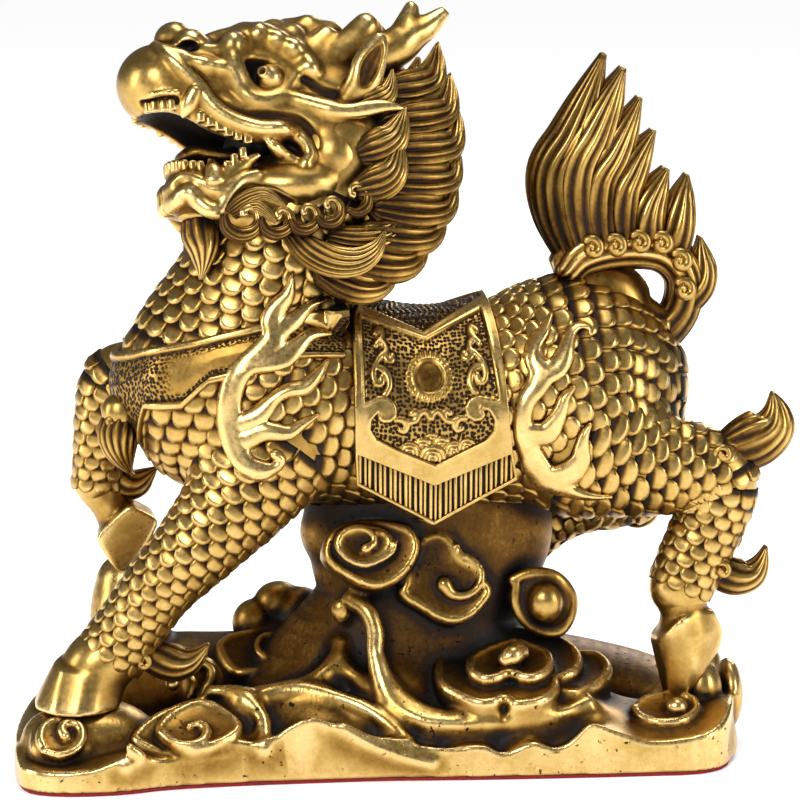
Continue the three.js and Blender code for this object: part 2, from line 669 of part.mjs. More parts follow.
function face() {
  const sockets = joined(pair((side) => ball(mirrored([EYE_SOCKET], side)[0], 6, 4)));
  const bones = [ball(SKULL, 10, 6), ball(NOSE, 6, 4), limb(CREST, { sides: 6 })];
  const pairs = pair((side) => [
    Object.values(FACE_PAIRS).map((rows) => ball(mirrored([rows], side)[0], 6, 4)),
    Object.values(FACE_ROLLS).map((rows) => limb(mirrored(rows, side), { sides: 4, ends: 0 })),
  ]);
  return [joined([jaws(), bones]).subtract(sockets), pairs];
}

function earsAndAntlers() {
  return pair((side) => [
    limb(mirrored(EAR, side), { sides: 6, ends: 0 }).subtract(
      limb(mirrored(EAR_HOLLOW, side), { sides: 4, ends: 0 }),
    ),
    ANTLER.map((rows) => limb(mirrored(rows, side), { sides: 6 })),
  ]);
}

function hair() {
  const locks = pair((side) =>
    MANE.map(({ points, width, thick }) => lock(mirrored(points, side), width, thick)),
  );
  const curls = pair((side) =>
    JAW_CURLS.map(([x, y, z]) => {
      const { radius, wide } = JAW_CURL;
      return ball([x, -side * y, z, radius, wide, radius], 6, 4);
    }),
  );
  const beard = [ball(BEARD_KNOT), lock(BEARD.points, BEARD.width, BEARD.thick, 6)];
  return [limb(MANE_CORE, { sides: 8 }), locks, curls, beard];
}

function head() {
  const pivot = HEAD_PIVOT.map((part) => part * share);
  const turn = new THREE.Matrix4()
    .makeTranslation(...pivot)
    .multiply(new THREE.Matrix4().makeRotationZ(THREE.MathUtils.degToRad(HEAD_TURN)))
    .multiply(new THREE.Matrix4().makeRotationX(THREE.MathUtils.degToRad(-HEAD_TILT)))
    .multiply(new THREE.Matrix4().makeTranslation(...pivot.map((part) => -part)));
  return placed(joined([face(), earsAndAntlers(), hair()]), turn);
}

// Base: a low slab with a wavy outline, a bank of cloud along its back, a pillar of cloud that
// carries the belly, and curled cloud heads

const BASE_OUTLINE = [
  [-97, -32], [-94, -40], [-86, -43.5], [-72, -43.5], [-61, -40.5], [-46, -39], [-26, -38.5],
  [-8, -38.5], [12, -40], [35, -41], [56, -41.5], [70, -41], [77, -36], [81, -24], [84, -6],
  [83, 12], [78, 28], [67, 37], [45, 39], [20, 36.5], [-5, 37], [-30, 39], [-55, 37],
  [-76, 38.5], [-89, 32], [-94, 16], [-97, -8],
];
const BASE_POINTS = 64;
const BANKS = [
  [[-84, -22, 6, 9, 15], [-80, -21, 7, 9, 19], [-72, -21, 5, 7, 14]],
  [[-80, 14, 6, 11, 16], [-62, 18, 9, 15, 18], [-42, 20, 9, 15, 17], [-20, 18, 10, 15, 18],
    [10, 16, 11, 17, 20], [38, 16, 9, 14, 19], [60, 14, 6, 12, 19], [70, 8, 4, 10, 17]],
  [[-36, -31, 5, 6, 6], [-24, -32, 7, 7, 6], [-12, -31, 4, 5, 6]],
  [[-8, -30, 3, 6, 8], [14, -30, 4, 6, 9], [40, -29, 4, 6, 9]],
  [[56, -27, 4, 9, 12], [64, -25, 5, 9, 15], [72, -20, 4, 8, 13]],
];
const PILLAR = [
  [0, 2, 6, 50, 27],
  [2, 2, 20, 36, 22],
  [4, 2, 33, 27, 18],
  [6, 2, 44, 29.5, 17],
  [7, 2, 54, 33, 17],
  [6, 2, 64, 31, 16],
];
const RAISED_HOOF_CLOUD = [
  [-67, 19, 10, 12, 12],
  [-67, 19, 22, 10.5, 11],
  [-68, 19, 31, 9.5, 10],
  [-68, 19, 38, 8, 8],
];
const FLOWING_RIDGE = [
  [-14, -16, 40, 3.5],
  [-6, -23, 34, 3.5],
  [-4, -28, 22, 3.5],
  [8, -33, 12, 3.5],
  [26, -36, 8, 3.5],
  [48, -36, 7, 2.5],
];
// Cloud heads: centre, radius, how far they lean back from upright, stacked layers
const CLOUD_HEADS = [
  { at: [25, -22, 23], radius: 19, lean: 72, layers: 3, lobes: 5 },
  { at: [-10.5, -18, 54], radius: 10.5, lean: 25, layers: 2, lobes: 4 },
  { at: [9, -18, 45.5], radius: 13, lean: 25, layers: 2, lobes: 4 },
  { at: [36, -9, 36.5], radius: 8, lean: 10, layers: 1, lobes: 0 },
  { at: [-48, -29, 12.5], radius: 12.5, lean: 60, layers: 2, lobes: 3 },
  { at: [-84, -31, 9.5], radius: 10.5, lean: 55, layers: 2, lobes: 3 },
  { at: [60, -29, 11], radius: 11.5, lean: 68, layers: 2, lobes: 3 },
  { at: [-36, 0, 21], radius: 11, lean: 65, layers: 2, lobes: 3 },
  { at: [-31.5, 17, 30], radius: 8, lean: 15, layers: 1, lobes: 0 },
  { at: [-57, -10, 12], radius: 10, lean: 60, layers: 2, lobes: 3 },
  { at: [18, 27, 22], radius: 14, lean: -55, layers: 3, lobes: 5 },
  { at: [-48, 28, 17], radius: 11, lean: -55, layers: 2, lobes: 4 },
  { at: [58, 26, 13], radius: 10, lean: -60, layers: 2, lobes: 4 },
  { at: [2, 16, 52], radius: 11, lean: -20, layers: 2, lobes: 4 },
];
const CLOUD_STEP = 2.4; // each layer's rise over the one below
const CLOUD_SHRINK = 0.28; // how much narrower each layer is, as a share of the lowest
const CLOUD_FLAT = 0.9; // a cloud head's height for its width
const CLOUD_DEEP = 5; // how far a cloud head reaches into what carries it
const ROUND_POINTS = 12;
const LOBE_REACH = [0.84, 1.02, 1.1, 1.02]; // from one notch between lobes to the next
const SPIRAL_POINTS = 7;
const SPIRAL = { turns: 1.35, reach: 0.78, wound: 0.8, thin: 0.13, thicker: 0.08 };

// One curled cloud head: lobed plates, one on another, and a spiral roll on the top one.
function cloudHead({ at, radius, lean, layers, lobes }) {
  const tilt = new THREE.Matrix4()
    .makeTranslation(at[0] * share, at[1] * share, at[2] * share)
    .multiply(new THREE.Matrix4().makeRotationX(THREE.MathUtils.degToRad(90 - lean)));
  const pieces = [];
  for (let i = 0; i < layers; i++) {
    const size = radius * (1 - CLOUD_SHRINK * i);
    const count = lobes ? lobes * LOBE_REACH.length : ROUND_POINTS;
    const points = Array.from({ length: count }, (_, j) => {
      const turn = ((j + 0.5 * i) / count) * Math.PI * 2;
      const reach = size * share * (lobes ? LOBE_REACH[j % LOBE_REACH.length] : 1);
      return new THREE.Vector2(reach * Math.cos(turn), reach * Math.sin(turn) * CLOUD_FLAT);
    });
    const plate = new THREE.ExtrudeGeometry(new THREE.Shape(points), {
      depth: (CLOUD_DEEP + CLOUD_STEP * (i + 1)) * share,
      bevelEnabled: false,
    });
    plate.translate(0, 0, -CLOUD_DEEP * share);
    pieces.push(solid(plate.applyMatrix4(tilt)));
  }
  const top = radius * (1 - CLOUD_SHRINK * (layers - 1)) * SPIRAL.reach;
  const path = Array.from({ length: SPIRAL_POINTS }, (_, j) => {
    const part = j / (SPIRAL_POINTS - 1);
    const turn = part * SPIRAL.turns * Math.PI * 2;
    const reach = top * (1 - SPIRAL.wound * part);
    const p = new THREE.Vector3(
      reach * Math.cos(turn),
      reach * Math.sin(turn) * CLOUD_FLAT,
      CLOUD_STEP * layers,
    ).multiplyScalar(share);
    p.applyMatrix4(tilt).multiplyScalar(1 / share);
    return [p.x, p.y, p.z, top * (SPIRAL.thin + SPIRAL.thicker * part)];
  });
  pieces.push(limb(path, { sides: 3, ends: 0 }));
  return pieces;
}

const baseCurve = (inset) => {
  const curve = new THREE.CatmullRomCurve3(
    BASE_OUTLINE.map(([x, y]) => new THREE.Vector3(x * share, y * share, 0)),
    true,
  );
  const shape = [];
  for (let i = 0; i < BASE_POINTS; i++) {
    const p = curve.getPoint(i / BASE_POINTS);
    const along = curve.getTangent(i / BASE_POINTS);
    shape.push(new THREE.Vector2(p.x - along.y * inset, p.y + along.x * inset));
  }
  return new THREE.Shape(shape);
};

function base() {
  const slabGeometry = new THREE.ExtrudeGeometry(baseCurve(BASE_BEVEL), {
    depth: BASE_RIM - BASE_BEVEL,
    bevelThickness: BASE_BEVEL,
    bevelSize: BASE_BEVEL,
    bevelSegments: 1,
  });
  slabGeometry.translate(0, 0, FELT_THICK);
  const rises = [
    ...BANKS.map((rows) => limb(rows, { sides: 8 })),
    limb(PILLAR, { sides: 12 }),
    limb(RAISED_HOOF_CLOUD, { sides: 8 }),
    limb(FLOWING_RIDGE, { sides: 5 }),
  ];
  const whole = joined([solid(slabGeometry), rises, CLOUD_HEADS.map(cloudHead)]);
  const below = new THREE.BoxGeometry(4 * HEIGHT, 4 * HEIGHT, HEIGHT);
  below.translate(0, 0, FELT_THICK - HEIGHT / 2);
  return whole.subtract(solid(below));
}

function felt() {
  return solid(
    new THREE.ExtrudeGeometry(baseCurve(FELT_INSET), { depth: FELT_THICK, bevelEnabled: false }),
  );
}

// Assembly

const brass = new THREE.MeshStandardMaterial({ color: 0xb98a32, roughness: 0.35, metalness: 1 });
const redFelt = new THREE.MeshStandardMaterial({ color: 0x8c1016, roughness: 1, metalness: 0 });

function mesh(name, form, material) {
  const piece = new THREE.Mesh(geometryOf(form), material);
  piece.name = name;
  return piece;
}

const casting = joined([body(), dress(), tassel(), tail(), head(), base()]);
const figure = new THREE.Group();
figure.add(
  mesh("qilin_on_clouds", coarser(withoutPockets(cornersOf(casting)), FIGURE_FACETS), brass),
  mesh("base_felt", cornersOf(felt()), redFelt),
);

export default figure;
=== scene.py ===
"""A brass qilin striding over clouds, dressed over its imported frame. The frame is in metres and
the tables here are in millimetres, as they are drawn: the head towards -X, seen along +Y."""
import copy
import json
import math

import bmesh
import bpy
import numpy as np
import openvdb
from mathutils import Matrix, Vector

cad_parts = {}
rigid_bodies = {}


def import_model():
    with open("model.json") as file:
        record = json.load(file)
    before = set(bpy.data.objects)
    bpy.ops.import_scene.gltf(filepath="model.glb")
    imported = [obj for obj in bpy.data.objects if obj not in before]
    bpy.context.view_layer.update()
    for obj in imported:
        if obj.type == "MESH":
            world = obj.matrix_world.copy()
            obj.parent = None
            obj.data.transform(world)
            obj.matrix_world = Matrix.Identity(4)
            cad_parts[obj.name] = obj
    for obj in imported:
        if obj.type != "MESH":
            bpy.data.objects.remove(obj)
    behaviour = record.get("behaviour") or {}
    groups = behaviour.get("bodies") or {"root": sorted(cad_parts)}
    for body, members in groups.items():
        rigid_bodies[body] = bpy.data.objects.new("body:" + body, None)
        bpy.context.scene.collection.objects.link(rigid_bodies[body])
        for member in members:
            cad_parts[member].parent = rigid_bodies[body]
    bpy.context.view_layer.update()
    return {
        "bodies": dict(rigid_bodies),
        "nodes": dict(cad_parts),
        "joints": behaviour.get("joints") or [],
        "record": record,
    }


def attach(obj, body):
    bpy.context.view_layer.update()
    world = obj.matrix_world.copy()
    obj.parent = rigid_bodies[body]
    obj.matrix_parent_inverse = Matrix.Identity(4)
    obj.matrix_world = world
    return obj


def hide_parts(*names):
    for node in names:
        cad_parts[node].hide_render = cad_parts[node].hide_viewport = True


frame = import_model()

MM = 0.001
FAR = 6.0  # distances are kept up to this many millimetres from a surface
ROOT = "root"
CASTING = "qilin_on_clouds"


# Camera, light and stage

VIEW_AZIMUTH = -6.5
VIEW_ELEVATION = 10.0
VIEW_DISTANCE = 0.9
VIEW_TARGET = Vector((0, 0, 0.0875))
LENS = 162.0


def look(thing, target):
    direction = Vector(target) - thing.location
    thing.rotation_mode = "QUATERNION"
    thing.rotation_quaternion = direction.to_track_quat("-Z", "Y")


def make_camera():
    data = bpy.data.cameras.new("camera")
    data.lens = LENS
    data.sensor_width = 36.0
    camera = bpy.data.objects.new("camera", data)
    azimuth, elevation = math.radians(VIEW_AZIMUTH), math.radians(VIEW_ELEVATION)
    back = Vector((
        math.sin(azimuth) * math.cos(elevation),
        -math.cos(azimuth) * math.cos(elevation),
        math.sin(elevation),
    ))
    camera.location = VIEW_TARGET + back * VIEW_DISTANCE
    look(camera, VIEW_TARGET)
    bpy.context.scene.collection.objects.link(camera)
    bpy.context.scene.camera = camera


# Boxes of light: where each one stands, how wide and high it is, and its power
LIGHTS = {
    "key_box": ((-0.45, -0.85, 0.65), (0.42, 0.36), 5.5),
    "side_box": ((0.85, -0.6, 0.35), (0.22, 0.5), 3.2),
    "top_box": ((0.1, 0.05, 1.0), (0.7, 0.3), 4),
    "left_box": ((-0.95, -0.1, 0.3), (0.2, 0.5), 2.6),
    "back_box": ((0.5, 0.95, 0.5), (0.5, 0.4), 3),
}
LIGHT_TARGET = (0, 0, 0.09)


def make_lights():
    for name, (location, size, power) in LIGHTS.items():
        data = bpy.data.lights.new(name, "AREA")
        data.shape = "RECTANGLE"
        data.size, data.size_y = size
        data.energy = power
        lamp = bpy.data.objects.new(name, data)
        lamp.location = location
        look(lamp, LIGHT_TARGET)
        bpy.context.scene.collection.objects.link(lamp)


WHITE = (1, 1, 1, 1)
STUDIO_BRIGHT = 1.05
STUDIO_IN_METAL = ((1.0, 0.97, 0.93, 1), 0.14)  # colour and brightness
FLOOR_COLOUR = (0.98, 0.98, 0.98, 1)
FLOOR_SIDE = 12.0


def make_world():
    """White on the floor, and darker in the metal's reflections, so that its forms read."""
    world = bpy.data.worlds.new("studio")
    bpy.context.scene.world = world
    world.use_nodes = True
    tree = world.node_tree
    seen = tree.nodes["Background"]
    seen.inputs["Color"].default_value = WHITE
    seen.inputs["Strength"].default_value = STUDIO_BRIGHT
    colour, bright = STUDIO_IN_METAL
    in_metal = new_node(tree, "ShaderNodeBackground", {"Color": colour, "Strength": bright})
    path = new_node(tree, "ShaderNodeLightPath")
    choice = new_node(tree, "ShaderNodeMixShader", {
        "Fac": path.outputs["Is Glossy Ray"],
        1: seen.outputs["Background"],
        2: in_metal.outputs["Background"],
    })
    tree.links.new(choice.outputs["Shader"], tree.nodes["World Output"].inputs["Surface"])
    bpy.context.scene.view_settings.view_transform = "Standard"


def make_floor():
    mesh = bpy.data.meshes.new("studio_floor")
    corners = [(x * FLOOR_SIDE, y * FLOOR_SIDE, 0) for x, y in ((-1, -1), (1, -1), (1, 1), (-1, 1))]
    mesh.from_pydata(corners, [], [(0, 1, 2, 3)])
    floor = thing_of(mesh)
    paper = bpy.data.materials.new("white_paper")
    paper.use_nodes = True
    shader = paper.node_tree.nodes["Principled BSDF"]
    shader.inputs["Base Color"].default_value = FLOOR_COLOUR
    shader.inputs["Roughness"].default_value = 0.9
    mesh.materials.append(paper)


# Curves and limbs

def smooth_through(rows, steps):
    """Points of a smooth curve through the rows, that many to a span, the last row included."""
    rows = np.array(rows, float)
    padded = np.concatenate([[2 * rows[0] - rows[1]], rows, [2 * rows[-1] - rows[-2]]])
    points = []
    for a, b, c, d in zip(padded, padded[1:], padded[2:], padded[3:]):
        for t in np.arange(steps) / steps:
            bend = (2 * a - 5 * b + 4 * c - d) * t * t + (3 * b - a - 3 * c + d) * t**3
            points.append(0.5 * (2 * b + (c - a) * t + bend))
    return np.array(points + [rows[-1]])


def unit(vectors):
    return vectors / np.maximum(np.linalg.norm(vectors, axis=-1, keepdims=True), 1e-9)


class Limb:
    """A limb through sections x, y, z, half height and half width, with its local axes."""

    def __init__(self, rows, steps=4):
        rows = [list(row) + [row[3]] * (5 - len(row)) for row in rows]
        curve = smooth_through(rows, steps)
        self.at = curve[:, :3]
        self.high = np.maximum(curve[:, 3], 0.15)
        self.wide = np.maximum(curve[:, 4], 0.15)
        self.tangent = unit(np.gradient(self.at, axis=0))
        crossing = np.abs(self.tangent[:, 1:2]) > 0.8
        sideways = np.where(crossing, [-1.0, 0.0, 0.0], [0.0, 1.0, 0.0])
        lean = (self.tangent * sideways).sum(1)
        self.across = unit(sideways - self.tangent * lean[:, None])
        for i in range(1, len(self.across)):
            if self.across[i] @ self.across[i - 1] < 0:
                self.across[i] *= -1
        self.up = np.cross(self.tangent, self.across)
        lengths = np.linalg.norm(np.diff(self.at, axis=0), axis=1)
        self.along = np.concatenate([[0], np.cumsum(lengths)])

    def ring_box(self, i, margin):
        """The box that holds the limb between stations i and i + 1, with its rounded ends."""
        pair = slice(i, i + 2)
        reach = np.sqrt(
            (self.up[pair] * self.high[pair, None]) ** 2
            + (self.across[pair] * self.wide[pair, None]) ** 2
        )
        lo, hi = (self.at[pair] - reach).min(0), (self.at[pair] + reach).max(0)
        last = len(self.at) - 2
        for end, station, sign in ((i == 0, 0, -1), (i == last, -1, 1)):
            if end:
                cap = min(self.high[station], self.wide[station])
                tip = self.at[station] + sign * cap * self.tangent[station]
                lo, hi = np.minimum(lo, tip - 0.3 * cap), np.maximum(hi, tip + 0.3 * cap)
        return lo - margin, hi + margin

    def surface(self, along, turn):
        """The point at that length along the limb and that turn about it, and the tangent."""
        at, tangent, up, across = (
            np.stack([np.interp(along, self.along, part[:, k]) for k in range(3)], -1)
            for part in (self.at, self.tangent, self.up, self.across)
        )
        high = np.interp(along, self.along, self.high)[..., None]
        wide = np.interp(along, self.along, self.wide)[..., None]
        out = up * high * np.cos(turn)[..., None] + across * wide * np.sin(turn)[..., None]
        return at + out, unit(tangent)


# Distance fields

class Field:
    """Distances to a surface on a grid, in millimetres, negative inside."""

    def __init__(self, lo, hi, voxel):
        self.lo = np.array(lo, float)
        self.voxel = voxel
        shape = np.ceil((np.array(hi) - self.lo) / voxel).astype(int) + 1
        self.axes = [
            (self.lo[k] + voxel * np.arange(shape[k])).astype(np.float32) for k in range(3)
        ]
        self.d = np.full(shape, FAR, np.float32)

    def window(self, lo, hi):
        """The slices of the grid inside a box, and its x, y and z as open arrays."""
        first = np.floor((np.array(lo) - self.lo) / self.voxel).astype(int)
        last = np.ceil((np.array(hi) - self.lo) / self.voxel).astype(int) + 1
        first, last = np.clip(first, 0, self.d.shape), np.clip(last, 0, self.d.shape)
        cut = tuple(slice(a, b) for a, b in zip(first, last))
        x, y, z = (axis[part] for axis, part in zip(self.axes, cut))
        return cut, x[:, None, None], y[None, :, None], z[None, None, :]

    def at(self, points):
        """The distances at points, between the grid's own by their nearness."""
        place = (points - self.lo) / self.voxel
        place = np.clip(place, 0, np.array(self.d.shape) - 1.001)
        base = place.astype(int)
        part = place - base
        total = np.zeros(len(points))
        for corner in np.ndindex(2, 2, 2):
            weight = np.prod(np.where(corner, part, 1 - part), axis=1)
            i, j, k = (base + corner).T
            total += weight * self.d[i, j, k]
        return total

    def holding(self, values):
        """A field on the same grid that holds those values."""
        other = copy.copy(self)
        other.d = values
        return other

    def slope(self, points):
        """The direction away from the surface at points."""
        step = np.eye(3) * self.voxel
        rise = [self.at(points + axis) - self.at(points - axis) for axis in step]
        return unit(np.stack(rise, -1))


def merged(a, b, blend):
    """The union of two distances, rounded where they meet over that many millimetres."""
    if blend <= 0:
        return np.minimum(a, b)
    part = np.clip(0.5 + 0.5 * (b - a) / blend, 0, 1)
    return b + (a - b) * part - blend * part * (1 - part)


def cut_out(a, b, blend):
    """What is left of a once b is cut away."""
    return -merged(-a, b, blend)


def span_distance(limb, i, x, y, z):
    """The distance to the limb between stations i and i + 1."""
    start, step = limb.at[i], limb.at[i + 1] - limb.at[i]
    length = float(step @ step)
    px, py, pz = x - start[0], y - start[1], z - start[2]
    part = np.clip((px * step[0] + py * step[1] + pz * step[2]) / length, 0, 1)
    part = part.astype(np.float32)
    px, py, pz = px - part * step[0], py - part * step[1], pz - part * step[2]
    up = unit(limb.up[i] + limb.up[i + 1])
    across = unit(limb.across[i] + limb.across[i + 1])
    axis = np.cross(up, across)
    high = limb.high[i] + part * (limb.high[i + 1] - limb.high[i])
    wide = limb.wide[i] + part * (limb.wide[i + 1] - limb.wide[i])
    cap = np.minimum(high, wide)
    u = (px * up[0] + py * up[1] + pz * up[2]) / high
    v = (px * across[0] + py * across[1] + pz * across[2]) / wide
    w = (px * axis[0] + py * axis[1] + pz * axis[2]) / cap
    reach = np.sqrt(u * u + v * v + w * w) + 1e-4
    steep = np.sqrt((u / high) ** 2 + (v / wide) ** 2 + (w / cap) ** 2) + 1e-5
    return (reach - 1) * reach / steep


def limb_away(limb, points):
    """The distance of each point to the limb."""
    return np.min([span_distance(limb, i, *points.T) for i in range(len(limb.at) - 1)], axis=0)


def limb_distance(field, limb, margin):
    """The window of the field round a limb, and the limb's distances there."""
    boxes = [limb.ring_box(i, margin) for i in range(len(limb.at) - 1)]
    lo = np.min([box[0] for box in boxes], axis=0)
    hi = np.max([box[1] for box in boxes], axis=0)
    cut, *_ = field.window(lo, hi)
    best = np.full([part.stop - part.start for part in cut], FAR, np.float32)
    for i, (low, high) in enumerate(boxes):
        inner, x, y, z = field.window(low, high)
        inside = tuple(slice(p.start - c.start, p.stop - c.start) for p, c in zip(inner, cut))
        if min(x.size, y.size, z.size) == 0:
            continue
        found = span_distance(limb, i, x, y, z)
        np.minimum(best[inside], found, out=best[inside])
    return cut, best


def add_limb(field, rows, blend=0.0, steps=4, join=merged):
    cut, found = limb_distance(field, Limb(rows, steps), max(2.0, 1.5 * blend))
    field.d[cut] = join(field.d[cut], found, blend)


def cut_limb(field, rows, blend=0.0, steps=4):
    add_limb(field, rows, blend, steps, cut_out)


def blurred(values, reach):
    """The values averaged over a cube that reaches that many cells each way."""
    for axis in range(3):
        pad = [(reach + 1, reach) if k == axis else (0, 0) for k in range(3)]
        total = np.cumsum(np.pad(values, pad, mode="edge"), axis=axis, dtype=np.float64)
        count = values.shape[axis]
        upper = np.take(total, range(2 * reach + 1, 2 * reach + 1 + count), axis=axis)
        lower = np.take(total, range(0, count), axis=axis)
        values = ((upper - lower) / (2 * reach + 1)).astype(np.float32)
    return values


# Meshes

def mesh_of(name, points, faces):
    """A smooth Blender mesh from points in millimetres and faces of three or four corners."""
    mesh = bpy.data.meshes.new(name)
    faces = [np.asarray(part) for part in faces if len(part)]
    corners = np.concatenate([part.reshape(-1) for part in faces])
    sizes = np.concatenate([np.full(len(part), part.shape[1]) for part in faces])
    starts = np.concatenate([[0], np.cumsum(sizes)[:-1]])
    mesh.vertices.add(len(points))
    mesh.vertices.foreach_set("co", (np.asarray(points) * MM).astype(np.float32).reshape(-1))
    mesh.loops.add(len(corners))
    mesh.loops.foreach_set("vertex_index", corners.astype(np.int32))
    mesh.polygons.add(len(sizes))
    mesh.polygons.foreach_set("loop_start", starts.astype(np.int32))
    mesh.polygons.foreach_set("use_smooth", np.ones(len(sizes), bool))
    mesh.update(calc_edges=True)
    mesh.validate()
    return mesh


def thing_of(mesh):
    thing = bpy.data.objects.new(mesh.name, mesh)
    bpy.context.scene.collection.objects.link(thing)
    return thing


def points_of(mesh):
    points = np.zeros(len(mesh.vertices) * 3, np.float32)
    mesh.vertices.foreach_get("co", points)
    return points.reshape(-1, 3).astype(float) / MM


def normals_of(mesh):
    normals = np.zeros(len(mesh.vertices) * 3, np.float32)
    mesh.vertices.foreach_get("normal", normals)
    return normals.reshape(-1, 3).astype(float)


def paint(mesh, name, values):
    """Keeps one number for each point of the mesh, for its material."""
    layer = mesh.attributes.get(name) or mesh.attributes.new(name, "FLOAT", "POINT")
    layer.data.foreach_set("value", np.asarray(values, np.float32))


DARKEST = 0.85  # the share of its relief that the darkest of the head's hollows loses


def dim_by(mesh, dark):
    """Lowers the relief painted on the mesh by a share of itself."""
    relief = np.zeros(len(mesh.vertices), np.float32)
    mesh.attributes["relief"].data.foreach_get("value", relief)
    paint(mesh, "relief", relief * (1 - DARKEST * dark))


def finished(thing):
    """The thing with its modifiers applied, as a new plain mesh."""
    depsgraph = bpy.context.evaluated_depsgraph_get()
    mesh = bpy.data.meshes.new_from_object(thing.evaluated_get(depsgraph))
    mesh.name = thing.name
    thing.modifiers.clear()
    thing.data = mesh
    return thing


def meshed(name, field, most, finish):
    """The surface of a field as a thing, thinned to at most that many triangles."""
    grid = openvdb.FloatGrid(FAR)
    grid.copyFromArray(np.clip(field.d, -FAR, FAR) / field.voxel)
    points, triangles, quads = grid.convertToPolygons(isovalue=0, adaptivity=0)
    points = points * field.voxel + field.lo
    faces = [part for part in (triangles, quads) if len(part)]
    if signed_volume(points, faces) < 0:
        faces = [part[:, ::-1] for part in faces]
    thing = thing_of(mesh_of(name, points, faces))
    count = len(triangles) + 2 * len(quads)
    if count > most:
        thin = thing.modifiers.new("thin", "DECIMATE")
        thin.ratio = most / count
        thing = finished(thing)
        thing.data.polygons.foreach_set("use_smooth", np.ones(len(thing.data.polygons), bool))
    thing.data.materials.append(finish)
    return thing


# Pieces built from points and faces of their own

def signed_volume(points, faces):
    total = 0.0
    for part in faces:
        first = points[part[:, 0]]
        for k in range(1, part.shape[1] - 1):
            total += np.einsum("ij,ij->", first, np.cross(points[part[:, k]], points[part[:, k + 1]]))
    return total


class Heap:
    """Closed forms gathered into one mesh, with the relief of each point."""

    def __init__(self):
        self.points, self.faces, self.relief = [], [], []
        self.count = 0

    def add(self, points, faces, relief):
        faces = [np.asarray(part) for part in faces if len(part)]
        if signed_volume(points, faces) < 0:
            faces = [part[:, ::-1] for part in faces]
        self.points.append(points)
        self.faces += [part + self.count for part in faces]
        self.relief.append(relief)
        self.count += len(points)

    def thing(self, name, finish):
        made = thing_of(mesh_of(name, np.concatenate(self.points), self.faces))
        paint(made.data, "relief", np.concatenate(self.relief))
        made.data.materials.append(finish)
        return made


def ring_faces(rings, around):
    """Quads between rings of points and fans to the two points after them."""
    i, j = np.meshgrid(np.arange(rings - 1), np.arange(around), indexing="ij")
    k = (j + 1) % around
    quads = np.stack([i * around + j, i * around + k, (i + 1) * around + k, (i + 1) * around + j], -1)
    turn = np.arange(around)
    after = (turn + 1) % around
    foot = rings * around
    low = np.stack([np.full(around, foot), after, turn], -1)
    high = np.stack([np.full(around, foot + 1), foot - around + turn, foot - around + after], -1)
    return [quads.reshape(-1, 4), np.concatenate([low, high])]


PLAIN_SHADE = 0.75  # the relief of what has no strands


def add_tube(heap, rows, around=8, steps=4, strands=0, depth=0.0, fade=0.0):
    """A closed limb, with that many strands of hair along it if any, that fade towards its end."""
    limb = Limb(rows, steps)
    count = len(limb.at)
    part = np.linspace(0, 1, count)[:, None]
    turn = np.arange(around) * 2 * math.pi / around
    ridge = np.ones((count, around))
    if strands:
        sway = 0.5 * np.sin(2.6 * part + 0.8 * np.sin(2 * turn)) * 2 * math.pi / strands
        ridge = np.abs(np.cos((turn + sway) * strands / 2)) ** 0.75
        ridge = 1 - (1 - ridge) * (1 - smooth_step(part, 1 - fade, 1) if fade else 1)
    grown = 1 - depth * (1 - ridge)
    high = limb.high[:, None] * grown * np.cos(turn)
    wide = limb.wide[:, None] * grown * np.sin(turn)
    rings = (
        limb.at[:, None, :]
        + limb.up[:, None, :] * high[..., None]
        + limb.across[:, None, :] * wide[..., None]
    )
    caps = np.minimum(limb.high, limb.wide) * 0.5
    tips = [limb.at[0] - limb.tangent[0] * caps[0], limb.at[-1] + limb.tangent[-1] * caps[-1]]
    points = np.concatenate([rings.reshape(-1, 3), tips])
    shade = PLAIN_SHADE * ridge
    if strands:
        shade = (0.1 + 0.84 * ridge**1.3) * (0.45 + 0.55 * smooth_step(part, 0.05, 0.62))
    relief = np.concatenate([shade.reshape(-1), [PLAIN_SHADE * 0.5, PLAIN_SHADE]])
    heap.add(points, ring_faces(count, around), relief)


LOCK_FULL = [0.55, 0.92, 1, 0.84, 0.5, 0.08]


def add_lock(heap, points, width, thick, strands, full=LOCK_FULL, around=48, steps=5, depth=0.17):
    """A lock of hair: full near its root and drawn out to a point."""
    path = smooth_through(points, 12)
    place = np.linspace(0, len(path) - 1, len(full))
    rows = []
    for part, spot in zip(full, place):
        at = [np.interp(spot, np.arange(len(path)), path[:, k]) for k in range(3)]
        rows.append([*at, width * part, thick * (0.35 + 0.65 * part)])
    add_tube(heap, rows, around, steps, strands, depth)


SPIRAL_SECTIONS = 14


def spiral_rows(at, radius, turns, start, thick, knob, rise, hand=1):
    """Sections of a roll wound inwards, seen from the side, that ends in a knob."""
    rows = []
    for part in np.linspace(0, 1, SPIRAL_SECTIONS).tolist():
        turn = start + hand * part * turns * 2 * math.pi
        reach = radius * (1 - 0.8 * part**0.9)
        size = thick + (knob - thick) * part**2
        x = at[0] + reach * math.cos(turn)
        z = at[2] + reach * math.sin(turn)
        y = at[1] + (rise * part if at[1] > 0 else -rise * part)
        rows.append([x, y, z, size, size])
    return rows


def mirrored(rows, side):
    """Rows listed for the -Y side, on that side."""
    return [[row[0], -side * row[1], *row[2:]] for row in rows]


# Body and legs: sections x, y, z, half height, half width

